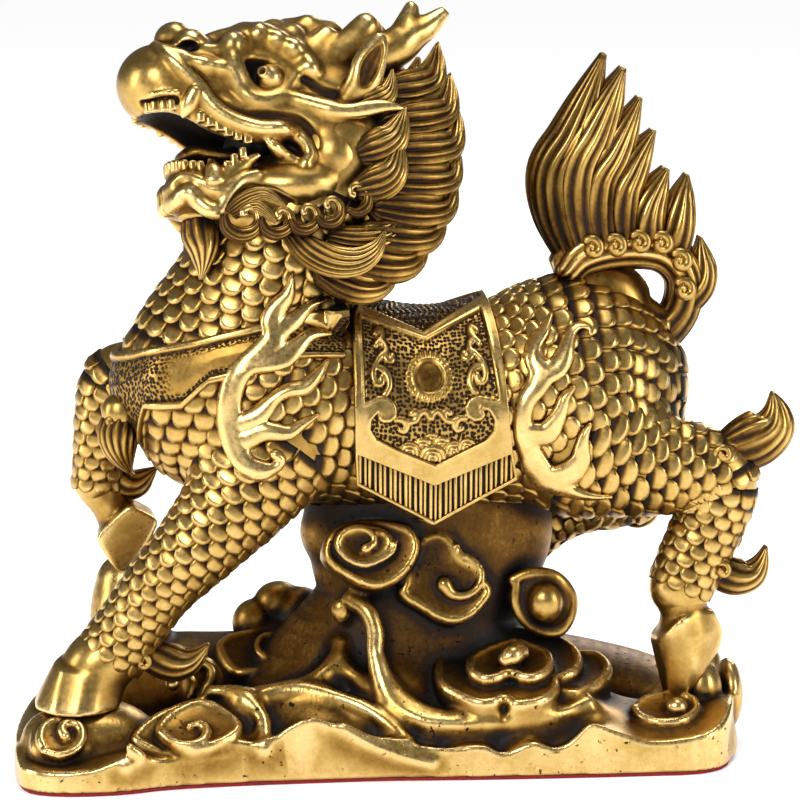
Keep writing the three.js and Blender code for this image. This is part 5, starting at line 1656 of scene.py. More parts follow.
def tongue_distance(x, z, rows):
    """The distance in side view to a tongue of flame."""
    curve = smooth_through(rows, 6)
    best = np.full(np.broadcast(x, z).shape, 1e3, np.float32)
    for a, b in zip(curve, curve[1:]):
        step = b - a
        part = ((x - a[0]) * step[0] + (z - a[1]) * step[1]) / max(step[0] ** 2 + step[1] ** 2, 1e-9)
        part = np.clip(part, 0, 1)
        away = np.hypot(x - a[0] - part * step[0], z - a[1] - part * step[1])
        best = np.minimum(best, away - a[2] - part * step[2])
    return best


def flame(name, skin, tongues, side, finish):
    rows = np.concatenate([np.array(part, float) for part in tongues])
    lo, hi = rows[:, :2].min(0) - 5, rows[:, :2].max(0) + 5
    depth = (-34, -4) if side < 0 else (4, 34)
    field = Field((lo[0], depth[0], lo[1]), (hi[0], depth[1], hi[1]), FLAME_VOXEL)
    x, y, z = field.axes
    drawn = np.full((len(x), len(z)), 1e3, np.float32)
    for part in tongues:
        wider = np.array(part) * [1, 1, FLAME_WIDER] + [0, 0, FLAME_ADDED]
        drawn = merged(drawn, tongue_distance(x[:, None], z[None, :], wider), 0.6)
    cells = np.stack(np.meshgrid(x, y, z, indexing="ij"), -1).reshape(-1, 3)
    depths = skin.at(cells).reshape(field.d.shape)
    sides = drawn[:, None, :]
    thick = FLAME_THICK * (FLAME_EDGE + FLAME_DOME * smooth_step(-sides, 0.2, 2.2))
    field.d = cut_out(depths - thick, -sides, 1.2).astype(np.float32)
    field.d = np.maximum(field.d, -FLAME_SUNK - depths)
    made = meshed(name, field, FLAME_MOST, finish)
    relief = 0.96 - 0.8 * smooth_step(-skin.at(points_of(made.data)), -1.5, -0.3)
    paint(made.data, "relief", relief)
    return made


# Node trees

def give(tree, socket, value):
    """Links a socket to another, or sets it."""
    if isinstance(value, bpy.types.NodeSocket):
        tree.links.new(value, socket)
    else:
        socket.default_value = value


def new_node(tree, kind, links=None, **settings):
    made = tree.nodes.new(kind)
    for key, value in settings.items():
        setattr(made, key, value)
    for key, value in (links or {}).items():
        give(tree, made.inputs[key], value)
    return made


class Tree:
    """A Geometry Nodes tree being built: inputs by name, nodes by kind."""

    def __init__(self, name, inputs):
        self.group = bpy.data.node_groups.new(name, "GeometryNodeTree")
        faces = self.group.interface
        faces.new_socket("Geometry", in_out="OUTPUT", socket_type="NodeSocketGeometry")
        faces.new_socket("Geometry", in_out="INPUT", socket_type="NodeSocketGeometry")
        for title, kind in inputs.items():
            faces.new_socket(title, in_out="INPUT", socket_type=kind)
        self.given = self.group.nodes.new("NodeGroupInput").outputs
        self.result = self.group.nodes.new("NodeGroupOutput").inputs["Geometry"]

    def node(self, kind, links=None, **settings):
        return new_node(self.group, kind, links, **settings)

    def named(self, attribute, data_type):
        read = self.node("GeometryNodeInputNamedAttribute", {"Name": attribute}, data_type=data_type)
        return read.outputs["Attribute"]

    def finish(self, geometry, finish):
        real = self.node("GeometryNodeRealizeInstances", {"Geometry": geometry})
        links = {"Geometry": real.outputs["Geometry"], "Material": finish}
        coated = self.node("GeometryNodeSetMaterial", links)
        self.group.links.new(coated.outputs["Geometry"], self.result)
        return self.group


def run_tree(name, mesh, group, **values):
    """A thing made from a mesh by a tree, as a plain mesh. The values go to inputs by title."""
    thing = thing_of(mesh)
    thing.name = name
    modifier = thing.modifiers.new("nodes", "NODES")
    modifier.node_group = group
    for item in group.interface.items_tree:
        if item.in_out == "INPUT" and item.name in values:
            modifier[item.identifier] = values[item.name]
    return finished(thing)


def scale_tree():
    """Plates set on points, each turned to its point's outward and backward directions."""
    tree = Tree("scale_rows", {
        "Plate": "NodeSocketObject",
        "Ruffle": "NodeSocketFloat",
        "Seed": "NodeSocketInt",
        "Finish": "NodeSocketMaterial",
    })
    plate = tree.node("GeometryNodeObjectInfo", {"Object": tree.given["Plate"]})
    least, most = (
        tree.node("ShaderNodeVectorMath", {0: (sign,) * 3, "Scale": tree.given["Ruffle"]}, operation="SCALE")
        for sign in (-1.0, 1.0)
    )
    ruffle = tree.node("FunctionNodeRandomValue", {
        0: least.outputs["Vector"], 1: most.outputs["Vector"], "Seed": tree.given["Seed"],
    }, data_type="FLOAT_VECTOR")
    outward = tree.node("ShaderNodeVectorMath", {
        0: tree.named("outward", "FLOAT_VECTOR"), 1: ruffle.outputs[0]}, operation="ADD")
    turn = tree.node("FunctionNodeAxesToRotation", {
        "Primary Axis": outward.outputs["Vector"],
        "Secondary Axis": tree.named("backward", "FLOAT_VECTOR"),
    }, primary_axis="Z", secondary_axis="Y")
    plates = tree.node("GeometryNodeInstanceOnPoints", {
        "Points": tree.given["Geometry"],
        "Instance": plate.outputs["Geometry"],
        "Rotation": turn.outputs["Rotation"],
        "Scale": tree.named("size", "FLOAT_VECTOR"),
    })
    return tree.finish(plates.outputs["Instances"], tree.given["Finish"])


# Finishes

class Shading:
    """A material being built, with short calls for its usual nodes."""

    def __init__(self, name):
        self.material = bpy.data.materials.new(name)
        self.material.use_nodes = True
        self.tree = self.material.node_tree
        self.shader = self.tree.nodes["Principled BSDF"]
        self.place = self.tree.nodes.new("ShaderNodeTexCoord").outputs["Object"]

    def node(self, kind, links=None, **settings):
        return new_node(self.tree, kind, links, **settings)

    def give(self, **inputs):
        for name, value in inputs.items():
            give(self.tree, self.shader.inputs[name.replace("_", " ")], value)

    def painted(self, name):
        return self.node("ShaderNodeAttribute", attribute_name=name).outputs["Fac"]

    def noise(self, scale, detail=4.0, roughness=0.6, place=None):
        links = {"Vector": place or self.place, "Scale": scale, "Detail": detail, "Roughness": roughness}
        return self.node("ShaderNodeTexNoise", links).outputs["Fac"]

    def math(self, operation, a, b=0.0, clamp=False):
        made = self.node("ShaderNodeMath", {0: a, 1: b}, operation=operation, use_clamp=clamp)
        return made.outputs["Value"]

    def spread(self, value, low, high, to_low=0.0, to_high=1.0):
        links = {"Value": value, "From Min": low, "From Max": high, "To Min": to_low, "To Max": to_high}
        return self.node("ShaderNodeMapRange", links).outputs["Result"]

    def ramp(self, value, stops):
        made = self.node("ShaderNodeValToRGB", {"Fac": value})
        points = made.color_ramp.elements
        while len(points) < len(stops):
            points.new(0.5)
        for point, (place, colour) in zip(points, stops):
            point.position = place
            point.color = (*colour, 1.0)
        return made.outputs["Color"]

    def bump(self, height, distance, strength, normal=None):
        links = {"Height": height, "Distance": distance, "Strength": strength}
        if normal is not None:
            links["Normal"] = normal
        return self.node("ShaderNodeBump", links).outputs["Normal"]


BRASS_TONES = [
    (0.0, (0.004, 0.002, 0.001)),
    (0.2, (0.028, 0.012, 0.004)),
    (0.4, (0.13, 0.063, 0.014)),
    (0.6, (0.36, 0.205, 0.045)),
    (0.8, (0.56, 0.36, 0.105)),
    (1.0, (0.80, 0.57, 0.23)),
]


def antique_brass(name, pits=0.0, brush=0.0, punched=False):
    """Cast brass: rubbed bright on what stands proud, dark in what lies deep, and darkened by the painted
    shade kept on its pieces.
    """
    make = Shading(name)
    relief = make.painted("relief")
    hollow = make.painted("hollow")
    cloud = make.noise(160.0, 5.0, 0.65)
    fine = make.noise(900.0, 3.0, 0.6)
    # The relief painted on the pieces holds their wear and patina, and some painted shadow.
    wear_and_shade = make.math("ADD", relief, make.spread(cloud, 0.3, 0.7, -0.07, 0.07))
    wear_and_shade = make.math("ADD", wear_and_shade, make.spread(fine, 0.3, 0.7, -0.05, 0.05))
    if punched:
        flat = make.node("ShaderNodeCombineXYZ", {
            "X": make.painted("across"), "Y": make.painted("height")}).outputs["Vector"]
        cells = make.node("ShaderNodeTexVoronoi", {
            "Vector": flat, "Scale": 0.98, "Randomness": 0.65}, feature="F1", voronoi_dimensions="2D")
        cells = cells.outputs["Distance"]
        holes = make.math("MULTIPLY", make.spread(cells, 0.28, 0.47, 1.0, 0.0), make.painted("punched"))
        wear_and_shade = make.math("SUBTRACT", wear_and_shade, make.math("MULTIPLY", holes, 0.6))
    if pits:
        spots = make.noise(620.0, 3.0, 0.55)
        wanted = make.noise(70.0, 2.0, 0.5)
        pitted = make.math("MULTIPLY", make.spread(spots, 0.64, 0.7), make.spread(wanted, 0.46, 0.58))
        wear_and_shade = make.math("SUBTRACT", wear_and_shade, make.math("MULTIPLY", pitted, 0.65))
    # The painted shade and patina kept on each point darken the tone.
    tone = make.math("SUBTRACT", wear_and_shade, make.math("MULTIPLY", hollow, 0.62), clamp=True)
    make.give(Base_Color=make.ramp(tone, BRASS_TONES), Metallic=make.spread(tone, 0.05, 0.35, 0.55, 1.0))
    rough = make.spread(tone, 0.1, 0.85, 0.54, 0.29)
    make.give(Roughness=make.math("ADD", rough, make.spread(fine, 0.35, 0.65, -0.04, 0.05)))
    grain = make.bump(make.noise(1400.0, 2.0, 0.5), 0.00003, 0.5)
    if punched:
        grain = make.bump(make.math("MULTIPLY", holes, -1.0), 0.0003, 0.9, grain)
    if brush:
        stretched = make.node("ShaderNodeMapping", {
            "Vector": make.place, "Scale": (1.0, 1.0, 0.06)}).outputs["Vector"]
        lines = make.noise(1300.0, 2.0, 0.5, stretched)
        grain = make.bump(lines, 0.00012, brush, grain)
    if pits:
        grain = make.bump(make.math("MULTIPLY", pitted, -1.0), 0.0004, pits, grain)
    make.give(Normal=grain)
    return make.material


FELT_TONES = [(0.3, (0.10, 0.004, 0.006)), (0.7, (0.30, 0.012, 0.018))]


def felt_finish():
    make = Shading("red_felt")
    fluff = make.noise(1800.0, 6.0, 0.7)
    make.give(Base_Color=make.ramp(fluff, FELT_TONES), Roughness=0.95, Normal=make.bump(fluff, 0.0002, 0.8))
    return make.material


# Base: the slab and the clouds on it

BASE_OUTLINE = [
    [-97, -32], [-94, -40], [-86, -43.5], [-72, -43.5], [-61, -40.5], [-46, -39], [-26, -38.5],
    [-8, -38.5], [12, -40], [35, -41], [56, -41.5], [70, -41], [77, -36], [81, -24], [84, -6], [83, 12],
    [78, 28], [67, 37], [45, 39], [20, 36.5], [-5, 37], [-30, 39], [-55, 37], [-76, 38.5], [-89, 32],
    [-94, 16], [-97, -8],
]
BASE_VOXEL = 0.6
BASE_MOST = 158000
SLAB_FOOT = 0.8
SLAB_TOP = 7.8
# Heights of the flowing ground behind the front wall: x, y, z
GROUND = [
    [-97, -30, 6.8], [-94, -39, 6.4], [-86, -43, 6.2], [-78, -43.5, 7], [-71, -43, 9.5], [-64, -41.5, 8.4],
    [-55.5, -40, 7.6], [-50, -39.4, 9], [-43.3, -38.9, 11.6], [-38, -38.6, 10.6], [-33, -38.5, 14],
    [-29, -38.5, 16.2], [-24.7, -38.5, 17], [-19, -38.5, 14.6], [-13, -38.4, 11.4], [-8, -38.5, 11.4],
    [-3, -38.8, 10.6], [5.5, -39.4, 9], [17.4, -40, 8.6], [29, -40.8, 9.4], [38, -41.2, 10.6],
    [41.5, -41.3, 14.4], [47, -41.4, 12.4], [56, -41.5, 9.2], [65, -41.4, 9.4], [72, -40, 10.6],
    [76, -36, 12.6], [78, -30, 15], [81, -22, 15], [83.5, -8, 12], [-35, -33, 9.4], [-29, -33, 13],
    [-24, -33, 13.4], [-18, -34, 11], [-11, -35, 8.4], [-2, -36, 8], [6, -36.4, 7], [20, -37.2, 6.8],
    [33, -37.6, 7.6], [40, -36, 9], [-41, -27, 19.3], [-36, -24, 19.3], [-27.7, -24, 20.4],
    [-20, -26, 19.1], [-12.2, -29, 16.4], [-5.5, -33, 12], [-26, -19, 17.4], [-16, -23, 16.8],
    [-9, -27.5, 14.6], [-22, -19, 23], [-17.7, -17, 24.6], [-11.5, -22, 20.6], [-6.8, -27, 18.5],
    [-2.5, -31, 15.2], [6, -34, 12.8], [-1, -23, 22], [4, -28, 15], [14, -31, 12], [20, -34.4, 13.4],
    [33, -33.4, 14.2], [43, -30, 16.8], [48, -24, 15], [56, -34, 10.5], [66, -32, 10.5], [-30, -10, 20],
    [-45, -12, 14], [-60, -14, 10], [-60, -2, 9], [-90, -10, 8], [20, -14, 24], [40, -14, 22],
    [55, -10, 14], [70, -10, 13],
]
GROUND_BACK = -8.0
RIDGE_BROADER = 1.15
BANKS = [
    [[-88, -24, 8, 8.4, 8], [-81, -22, 9.4, 8.6, 11], [-73, -21, 9, 8.2, 11], [-66, -20, 5, 7, 12]],
    [[-80, 14, 6, 11, 16], [-62, 18, 9, 15, 18], [-42, 20, 9, 15, 17], [-20, 18, 10, 15, 18],
     [10, 16, 11, 17, 20], [38, 16, 9, 14, 19], [60, 14, 6, 12, 19], [70, 8, 4, 10, 17]],
    [[56, -27, 2, 9, 11], [64, -25, 4, 9, 13], [72, -20, 4, 8, 12]],
]
PILLAR = [
    [0, 2, 6, 44, 24], [2, 2, 20, 34, 20], [4, 2, 33, 26, 17.5], [6, 2, 44, 28.5, 16.5],
    [7, 2, 54, 32, 16.5], [6, 2, 64, 30, 16],
]
RAISED_HOOF_CLOUD = [
    [-67, 19, 10, 12, 12], [-67, 19, 22, 10.5, 11], [-68, 19, 31, 9.5, 10], [-68, 19, 38, 8, 8],
]
RIDGES = [
    [[-14.5, -16, 40.8, 1.6], [-10.4, -19, 38.6, 2], [-8.6, -21, 34, 2], [-8.7, -22.5, 28.9, 1.9],
     [-7.4, -26, 21.5, 1.9], [-4.6, -29.6, 17, 1.8], [0, -32.4, 14.6, 1.7], [6, -34, 13.4, 1.5],
     [19.8, -34.6, 13.2, 1.3], [33.3, -33.6, 14.2, 1.2], [43, -30.2, 16.8, 0.9]],
    [[-7.7, -24, 25.6, 0.9], [-5, -26, 21, 1.2], [-1, -29, 17.6, 1.3], [6.2, -31.6, 14.6, 1.2],
     [14, -32.6, 13.2, 0.9]],
    [[-16.6, -14, 29, 1.3], [-17.7, -17, 25.2, 1.7], [-22.2, -20, 23, 1.4], [-28, -22, 21, 1.3],
     [-35.9, -24, 19.6, 1]],
    [[-17.7, -17, 25, 1.3], [-11.5, -22, 20.8, 1.4], [-5.7, -28, 16.4, 0.8]],
    [[-41.2, -27, 19, 1.1], [-35.9, -24.5, 19.6, 1.2], [-27.7, -24.5, 20.6, 1.3], [-20, -26.4, 19.4, 1.3],
     [-12.2, -29.4, 16.8, 1.3], [-6, -33.2, 12.8, 1.1], [-2, -36.6, 10.4, 0.8]],
    [[-49.1, -23, 20.6, 1.1], [-44, -24.6, 20.4, 1.4], [-40, -28, 18.4, 1.5], [-37.2, -32, 15.4, 1.4],
     [-37, -36, 12, 1.1], [-37.4, -38.6, 9.6, 0.7]],
    [[-18, -38.4, 14, 0.8], [-12, -38.6, 10.4, 0.9], [-4.4, -38.9, 7, 0.8], [3, -39.4, 5, 0.4]],
    [[-70, -43, 12.5, 0.8], [-68, -42.5, 9.6, 0.9], [-71, -43, 7.4, 0.8]],
]
# Clouds are plates laid one on another. Each outline lies in its own plane, across and up its face
BOWL_SIDE = [[20.5, 14], [25, 12], [26.5, 5.5], [23.5, -1], [18, -5.5], [12, -6], [5, 0.5], [10, 12]]
BOWL_WIDE = [
    [-19, 4], [-16, 11], [-11, 14], [-5.5, 16], [0, 20], [6.5, 21.5], [13.5, 18], [18, 12.5], [19, 5.5],
    [16.5, 0], [12, -3], [11, -7.5], [7.5, -12], [2.5, -14], [-1.5, -14], [-3.2, -11.5], [-6, -13],
    [-10, -13], [-14.5, -9.5], [-18.5, -4],
]
BOWL_HEART = [
    [-11.5, 0], [-10.5, 4.5], [-6.5, 8.5], [-1.5, 11.5], [2.5, 13], [7, 10], [10.5, 6.5], [11, 1.5],
    [9, -3], [5, -6], [1.5, -5.5], [-1, -3.8], [-4, -5.5], [-7.5, -6], [-10.5, -3.5],
]
FRONT_SHELF = [
    [-19.5, -4], [-15, -9], [-10.5, -11.5], [-5.5, -12.5], [0, -12], [5, -10.5], [10.5, -6.5],
    [13.5, -1.5], [13, 4], [10.5, 8], [6, 9], [1, 10], [-7, 7.5], [-14.5, 3],
]
FRONT_DISC = [
    [-13.5, -3.5], [-10, 1.5], [-4.5, 5], [0, 5], [4.5, 1.5], [7.5, -3], [7, -6.5], [3, -10], [-1.5, -12],
    [-5.5, -12.5], [-9.5, -10.5], [-12.5, -7.5],
]
FRONT_CURL = [
    [-12.6, -6, 0.7], [-9.6, -9.3, 0.9], [-6, -10.6, 1.1], [-2.6, -9.6, 1.2], [-1.2, -6.2, 1.2],
    [-2.9, -3.7, 1], [-5.2, -4.2, 0.8],
]
HOOF_SHELF = [
    [-9.5, 1.5], [-8, 6.5], [-4, 9.5], [2, 10], [6, 8], [7, 4], [5, -1], [0.5, -4.5], [-5, -4.5],
    [-8.5, -2],
]
HOOF_DISC = [
    [-8, 1], [-7, 5], [-3.5, 7.5], [1, 8], [4, 5.5], [4, 1], [2.5, -2.5], [-1, -5.5], [-4.5, -5],
    [-7, -2.5],
]
HOOF_CURL = [
    [-6.4, -3.4, 0.7], [-1.9, -4.6, 0.9], [1.9, -2.9, 1], [3.4, 0.8, 1.1], [2.4, 4.2, 1.2],
    [-0.2, 4.8, 1.3], [-1.6, 2.8, 1.3], [-0.9, 0.9, 1.4],
]
HIND_DISC = [
    [-5.5, 2], [-2.5, 7], [2, 9], [7, 10], [11, 6.5], [12, 2], [10, -2], [6, -5], [0.5, -5.5], [-4, -3],
]
HIND_CURL = [
    [-5.2, 2.2, 0.7], [-3.6, -2.3, 0.9], [0.6, -4.8, 1.1], [6.1, -4.2, 1.1], [10.4, 0, 1],
    [10.6, 4.6, 0.9], [8.4, 6.6, 0.8],
]
HIGH_SHELF = [
    [-11, -0.5], [-9, -4.5], [-5.5, -7], [-1, -9.5], [3.5, -10], [8, -8], [11.5, -4.5], [13.5, 0],
    [12.5, 4], [9, 6.5], [-1, 7.5], [-8.5, 5],
]
HIGH_DISC = [
    [-8, 1], [-6.5, 4.5], [-1, 6], [5, 4.5], [7, 1.5], [5.5, -1.5], [2.5, -3.5], [-1, -4.5], [-5, -3],
]
HIGH_CURL = [
    [7.2, 1.4, 0.6], [6.1, -1.3, 0.7], [2.8, -3.3, 0.8], [-1, -4.2, 0.9], [-5.1, -2.5, 0.9],
    [-7.2, 0.7, 0.9], [-5.8, 3.8, 0.9], [-2.1, 5, 0.9], [1.1, 3.7, 0.9], [1.8, 1.2, 0.9],
    [-0.3, -0.3, 1.3],
]
HEART_LEAF = [
    [-11, 0.5], [-12, -2], [-10.5, -4.5], [-6.5, -7], [-2.5, -9.5], [1.5, -10.5], [5.5, -9.5], [9, -6.5],
    [11.5, -2.5], [9.5, 1.5], [8, 4.5], [4, 7], [2, 11], [-1.5, 13], [-6, 11.5], [-9.5, 6],
]
HEART_CURL = [
    [3, 9.3, 0.6], [3.8, 7.1, 0.7], [6, 5.9, 0.8], [8, 4.2, 0.8], [8.9, 1.5, 0.9], [7.5, -1.7, 1],
    [4.4, -3.5, 1.1], [1.2, -3, 1.4], [-0.6, -0.6, 2],
]
LOW_SHELF = [
    [-10.5, 6], [-8, 11], [-2.5, 13], [5, 14], [15.5, 12.5], [18.5, 8], [16, 2], [10, -1], [1.5, -3],
    [-6.5, -3.5],
]
LOW_DISC = [[-1, 4], [0.5, 8], [3.5, 9.5], [7.5, 9.5], [10, 5.5], [8, 0.5], [3.5, -1.5], [0, 0.5]]
LOW_CURL = [
    [9.8, 5.6, 0.6], [7.9, 1.1, 0.7], [3.5, -0.7, 0.8], [0.1, 1.8, 0.8], [0.2, 6, 0.8], [2.3, 8.1, 0.8],
    [5.1, 7.3, 0.8], [5.6, 4.4, 0.8], [4, 3.4, 1.1],
]
# Clouds: centre, how far the face leans back from upright, plates with their heights, and a curl
CLOUDS = [
    [[25, -23, 19.5], 72, [[0.8, BOWL_SIDE], [3.2, BOWL_WIDE], [5.6, BOWL_HEART]], []],
    [[-50, -29, 12.6], 60, [[1.4, FRONT_SHELF], [4.6, FRONT_DISC]], FRONT_CURL],
    [[-84.5, -32.5, 9.4], 52, [[0.8, HOOF_SHELF], [3.2, HOOF_DISC]], HOOF_CURL],
    [[60, -29.5, 11.8], 70, [[1.6, HIND_DISC]], HIND_CURL],
    [[-10.5, -18, 53.5], 22, [[0.5, HIGH_SHELF], [2.6, HIGH_DISC]], HIGH_CURL],
    [[9.5, -17.5, 44.5], 18, [[0.8, HEART_LEAF]], HEART_CURL],
    [[-36, -2, 21], 62, [[0.5, LOW_SHELF], [2.4, LOW_DISC]], LOW_CURL],
    [[18, 27, 20], 125, [[0.8, BOWL_WIDE], [3.6, BOWL_HEART]], []],
    [[-48, 28, 14], 125, [[1.0, FRONT_SHELF], [3.6, FRONT_DISC]], FRONT_CURL],
    [[58, 26, 11], 125, [[1.6, HIND_DISC]], HIND_CURL],
    [[2, 18, 50], 160, [[0.5, HIGH_SHELF], [2.6, HIGH_DISC]], HIGH_CURL],
]
CLOUD_DEEP = 5.5
CLOUD_RIM = 0.6
# Small rolls: the cup and its lip behind the bowl, and the roll beside the foreleg
ROLLS = [
    [[27, -12, 43.4, 1.5], [31.3, -12, 45, 1.6], [37.4, -12, 44, 1.7], [41.5, -11, 39, 1.8],
     [41.5, -11, 33.8, 1.7], [38.6, -12, 30, 1.6], [33.6, -12.6, 30.4, 1.5], [29.4, -13, 33.6, 1.4],
     [27.4, -13, 38.2, 1.4], [27.6, -12.4, 42.6, 1.4]],
    [[-60.8, -17, 22.6, 0.6], [-58.6, -17.4, 24.4, 0.8], [-55.6, -17.6, 24, 0.9],
     [-53.4, -17.6, 21.8, 0.9], [-53.2, -17.2, 19.3, 0.9], [-54.2, -17, 16.8, 0.8]],
    [[-54.9, -13.4, 24.7, 0.9], [-51.7, -13.6, 25.3, 1.2], [-48.6, -13.8, 23.2, 1.3],
     [-49, -14, 20.4, 1.3], [-50.3, -14.4, 18.4, 1.2], [-51.3, -15, 16, 1]],
]
# Round heads: x, y, z and three radii. The knobs are crisp, and the billows run into the ground
KNOBS = [
    [-16.4, -15, 37.4, 2.5, 1.8, 3.1], [-58.4, -17, 20.6, 1.9, 1.8, 1.9],
    [65.6, -29.4, 14.2, 2.8, 2.4, 2.4],
]
BILLOWS = [
    [34.6, -10.4, 37.6, 8, 5.2, 8.2], [34.8, -15, 38, 4.4, 3.6, 5], [-50.6, -9, 17.8, 5.4, 5.6, 7.4],
    [-29.5, 16, 32.6, 6.4, 6, 5.6], [-35.5, 15, 27.8, 6, 6, 6.2], [-24, 14, 30, 7, 7, 7],
    [-28, 14, 24, 9, 8, 7], [74, -17, 15, 5.4, 6, 8], [82.6, -9, 12, 3.6, 8, 9], [80, 10, 13, 5, 9, 8],
]
BOWL_KNOB = [
    [23.6, -25.2, 26.4, 2.2], [25.2, -24.4, 27.2, 2.9], [27.4, -22.8, 27.8, 2], [28.6, -23.6, 27, 0.9],
]


def ground_height(x, y):
    """A smooth ground through the listed heights."""
    spots = np.array(GROUND, float)

    def basis(ax, ay):
        r2 = (ax[:, None] - spots[None, :, 0]) ** 2 + (ay[:, None] - spots[None, :, 1]) ** 2
        return r2 * np.log(r2 + 1e-6) * 0.5

    count = len(spots)
    flat = np.column_stack([np.ones(count), spots[:, 0], spots[:, 1]])
    system = np.zeros((count + 3, count + 3))
    system[:count, :count] = basis(spots[:, 0], spots[:, 1]) + np.eye(count) * 2.0
    system[:count, count:] = flat
    system[count:, :count] = flat.T
    weights = np.linalg.solve(system, np.concatenate([spots[:, 2], np.zeros(3)]))
    ax, ay = x.reshape(-1), y.reshape(-1)
    height = basis(ax, ay) @ weights[:count] + weights[count] + weights[count + 1] * ax
    return (height + weights[count + 2] * ay).reshape(x.shape)


def cloud_frame(lean):
    """The axes of a cloud head: along, up its face and out of it."""
    tilt = math.radians(90 - lean)
    return np.array([
        [1, 0, 0],
        [0, math.cos(tilt), math.sin(tilt)],
        [0, -math.sin(tilt), math.cos(tilt)],
    ])


def closed_curve(outline, steps=5):
    """A smooth closed curve through the points of an outline."""
    points = np.array(outline, float)
    around = np.concatenate([points[-1:], points, points[:2]])
    return smooth_through(around, steps)[steps:-steps - 1]


def flat_distance(outline, u, v):
    """The distance in its plane to a closed outline, negative inside, looked up from a fine sheet."""
    edge = closed_curve(outline)
    step = 0.4
    low = edge.min(axis=0) - 8
    shape = np.ceil((edge.max(axis=0) + 8 - low) / step).astype(int) + 1
    cells = low + step * np.stack(np.meshgrid(*map(np.arange, shape), indexing="ij"), -1)
    sheet = outline_distance(cells.reshape(-1, 2), edge).reshape(shape)
    across = np.clip((u - low[0]) / step, 0, shape[0] - 1.001)
    up = np.clip((v - low[1]) / step, 0, shape[1] - 1.001)
    i, j = across.astype(int), up.astype(int)
    p, q = across - i, up - j
    lower = sheet[i, j] * (1 - p) + sheet[i + 1, j] * p
    upper = sheet[i, j + 1] * (1 - p) + sheet[i + 1, j + 1] * p
    return lower * (1 - q) + upper * q


def add_cloud(field, at, lean, plates, curl):
    """Plates one on another, each with a raised rim, and a curl that winds to its knob."""
    at = np.array(at, float)
    axes = cloud_frame(lean)
    reach = np.abs(np.concatenate([outline for _, outline in plates])).max() + CLOUD_DEEP
    cut, x, y, z = field.window(at - reach, at + reach)
    px, py, pz = x - at[0], y - at[1], z - at[2]
    u, v, w = np.broadcast_arrays(*(px * a[0] + py * a[1] + pz * a[2] for a in axes))
    whole = np.full(w.shape, FAR, np.float32)
    for height, outline in plates:
        away = flat_distance(outline, u, v)
        rim = CLOUD_RIM * np.exp(-((away + 1.3) / 0.8) ** 2)
        top = height + rim - 0.5 * smooth_step(-away, 1, 6)
        plate = cut_out(w - top, -away * 0.9, 1.1)
        whole = merged(whole, np.maximum(plate, -CLOUD_DEEP - w), 0.5)
    field.d[cut] = merged(field.d[cut], whole, 1.0)
    if curl:
        height = plates[-1][0]
        rows = [[*(at + np.array([u, v, height + 0.2]) @ axes), half, half] for u, v, half in curl]
        add_limb(field, rows, 0.5, 5)


def base_field():
    field = Field((-100, -46, SLAB_FOOT), (88, 43, 68), BASE_VOXEL)
    x, y, z = field.axes
    across = np.stack(np.meshgrid(x, y, indexing="ij"), -1)
    edge = closed_curve(BASE_OUTLINE, 6)
    wall = outline_distance(across.reshape(-1, 2), edge).reshape(across.shape[:2])
    wall = wall.astype(np.float32)[:, :, None]
    height = np.full(across.shape[:2], SLAB_TOP)
    front = 1 - smooth_step(across[..., 1], GROUND_BACK - 8, GROUND_BACK + 4)
    raised = ground_height(across[..., 0], across[..., 1])
    height = height + np.maximum(raised - SLAB_TOP, -1.6) * front
    height = height.astype(np.float32)[:, :, None]
    top = (z[None, None, :] - height) * 0.85
    field.d = cut_out(top, -wall, 1.0).astype(np.float32)
    for rows in BANKS:
        add_limb(field, rows, 3.0, 6)
    add_limb(field, PILLAR, 3.0, 24)
    add_limb(field, RAISED_HOOF_CLOUD, 2.0)
    for row in BILLOWS:
        add_ball(field, row, 1.0)
    for rows in CLOUDS:
        add_cloud(field, *rows)
    for rows in RIDGES:
        add_limb(field, [[x, y, z - 0.5, RIDGE_BROADER * half] for x, y, z, half in rows], 3.4, 6)
    for rows in (*ROLLS, BOWL_KNOB):
        add_limb(field, rows, 0.6, 5)
    for row in KNOBS:
        add_ball(field, row, 0.5)
    field.d = np.maximum(field.d, SLAB_FOOT + 0.05 - z[None, None, :])
    return field


def cloud_base(finish):
    field = base_field()
    made = meshed("cloud_base", field, BASE_MOST, finish)
    wear_from_field(made, field, 1.2, 3.6)
    return made, field


# The wear of the brass and its painted shade, kept on each mesh for its material

FLAT_RELIEF = 0.62
RELIEF_GAIN = 2.2


def wear_from_field(thing, field, fine=1.2, broad=4.0):
    """Paints relief, 1 on what stands proud of its surroundings and 0 in grooves."""
    mesh = thing.data
    points = points_of(mesh)
    near = np.clip(field.d, -FAR, FAR)
    proud = np.zeros(len(points))
    for reach, share in ((fine, 0.6), (broad, 0.4)):
        soft = field.holding(blurred(near, max(1, round(reach / field.voxel))))
        proud += share * soft.at(points) / reach
    paint(mesh, "relief", np.clip(FLAT_RELIEF + RELIEF_GAIN * proud, 0, 1))


BELLY_SHADE = 0.42


def belly_shadow(points):
    """Painted shadow of the body: 1 on what stands under the belly, to 0 round it."""
    x, y, z = points.T
    along = 1 - smooth_step(np.abs(x - 8), 56, 72)
    deep = smooth_step(y, -29, -15) * (1 - smooth_step(y, 20, 32))
    return along * deep * smooth_step(z, 4, 13)


# Painted shade and patina of the figure's hollows: how far out each is looked for, how full an open place
# still is, and its weight
NEAR_HOLLOW = (4.5, 0.16, 1.3)
WIDE_HOLLOW = (9, 0.22, 1.2)
# Painted shade on what faces down
DOWNWARD_SHADE = 0.16


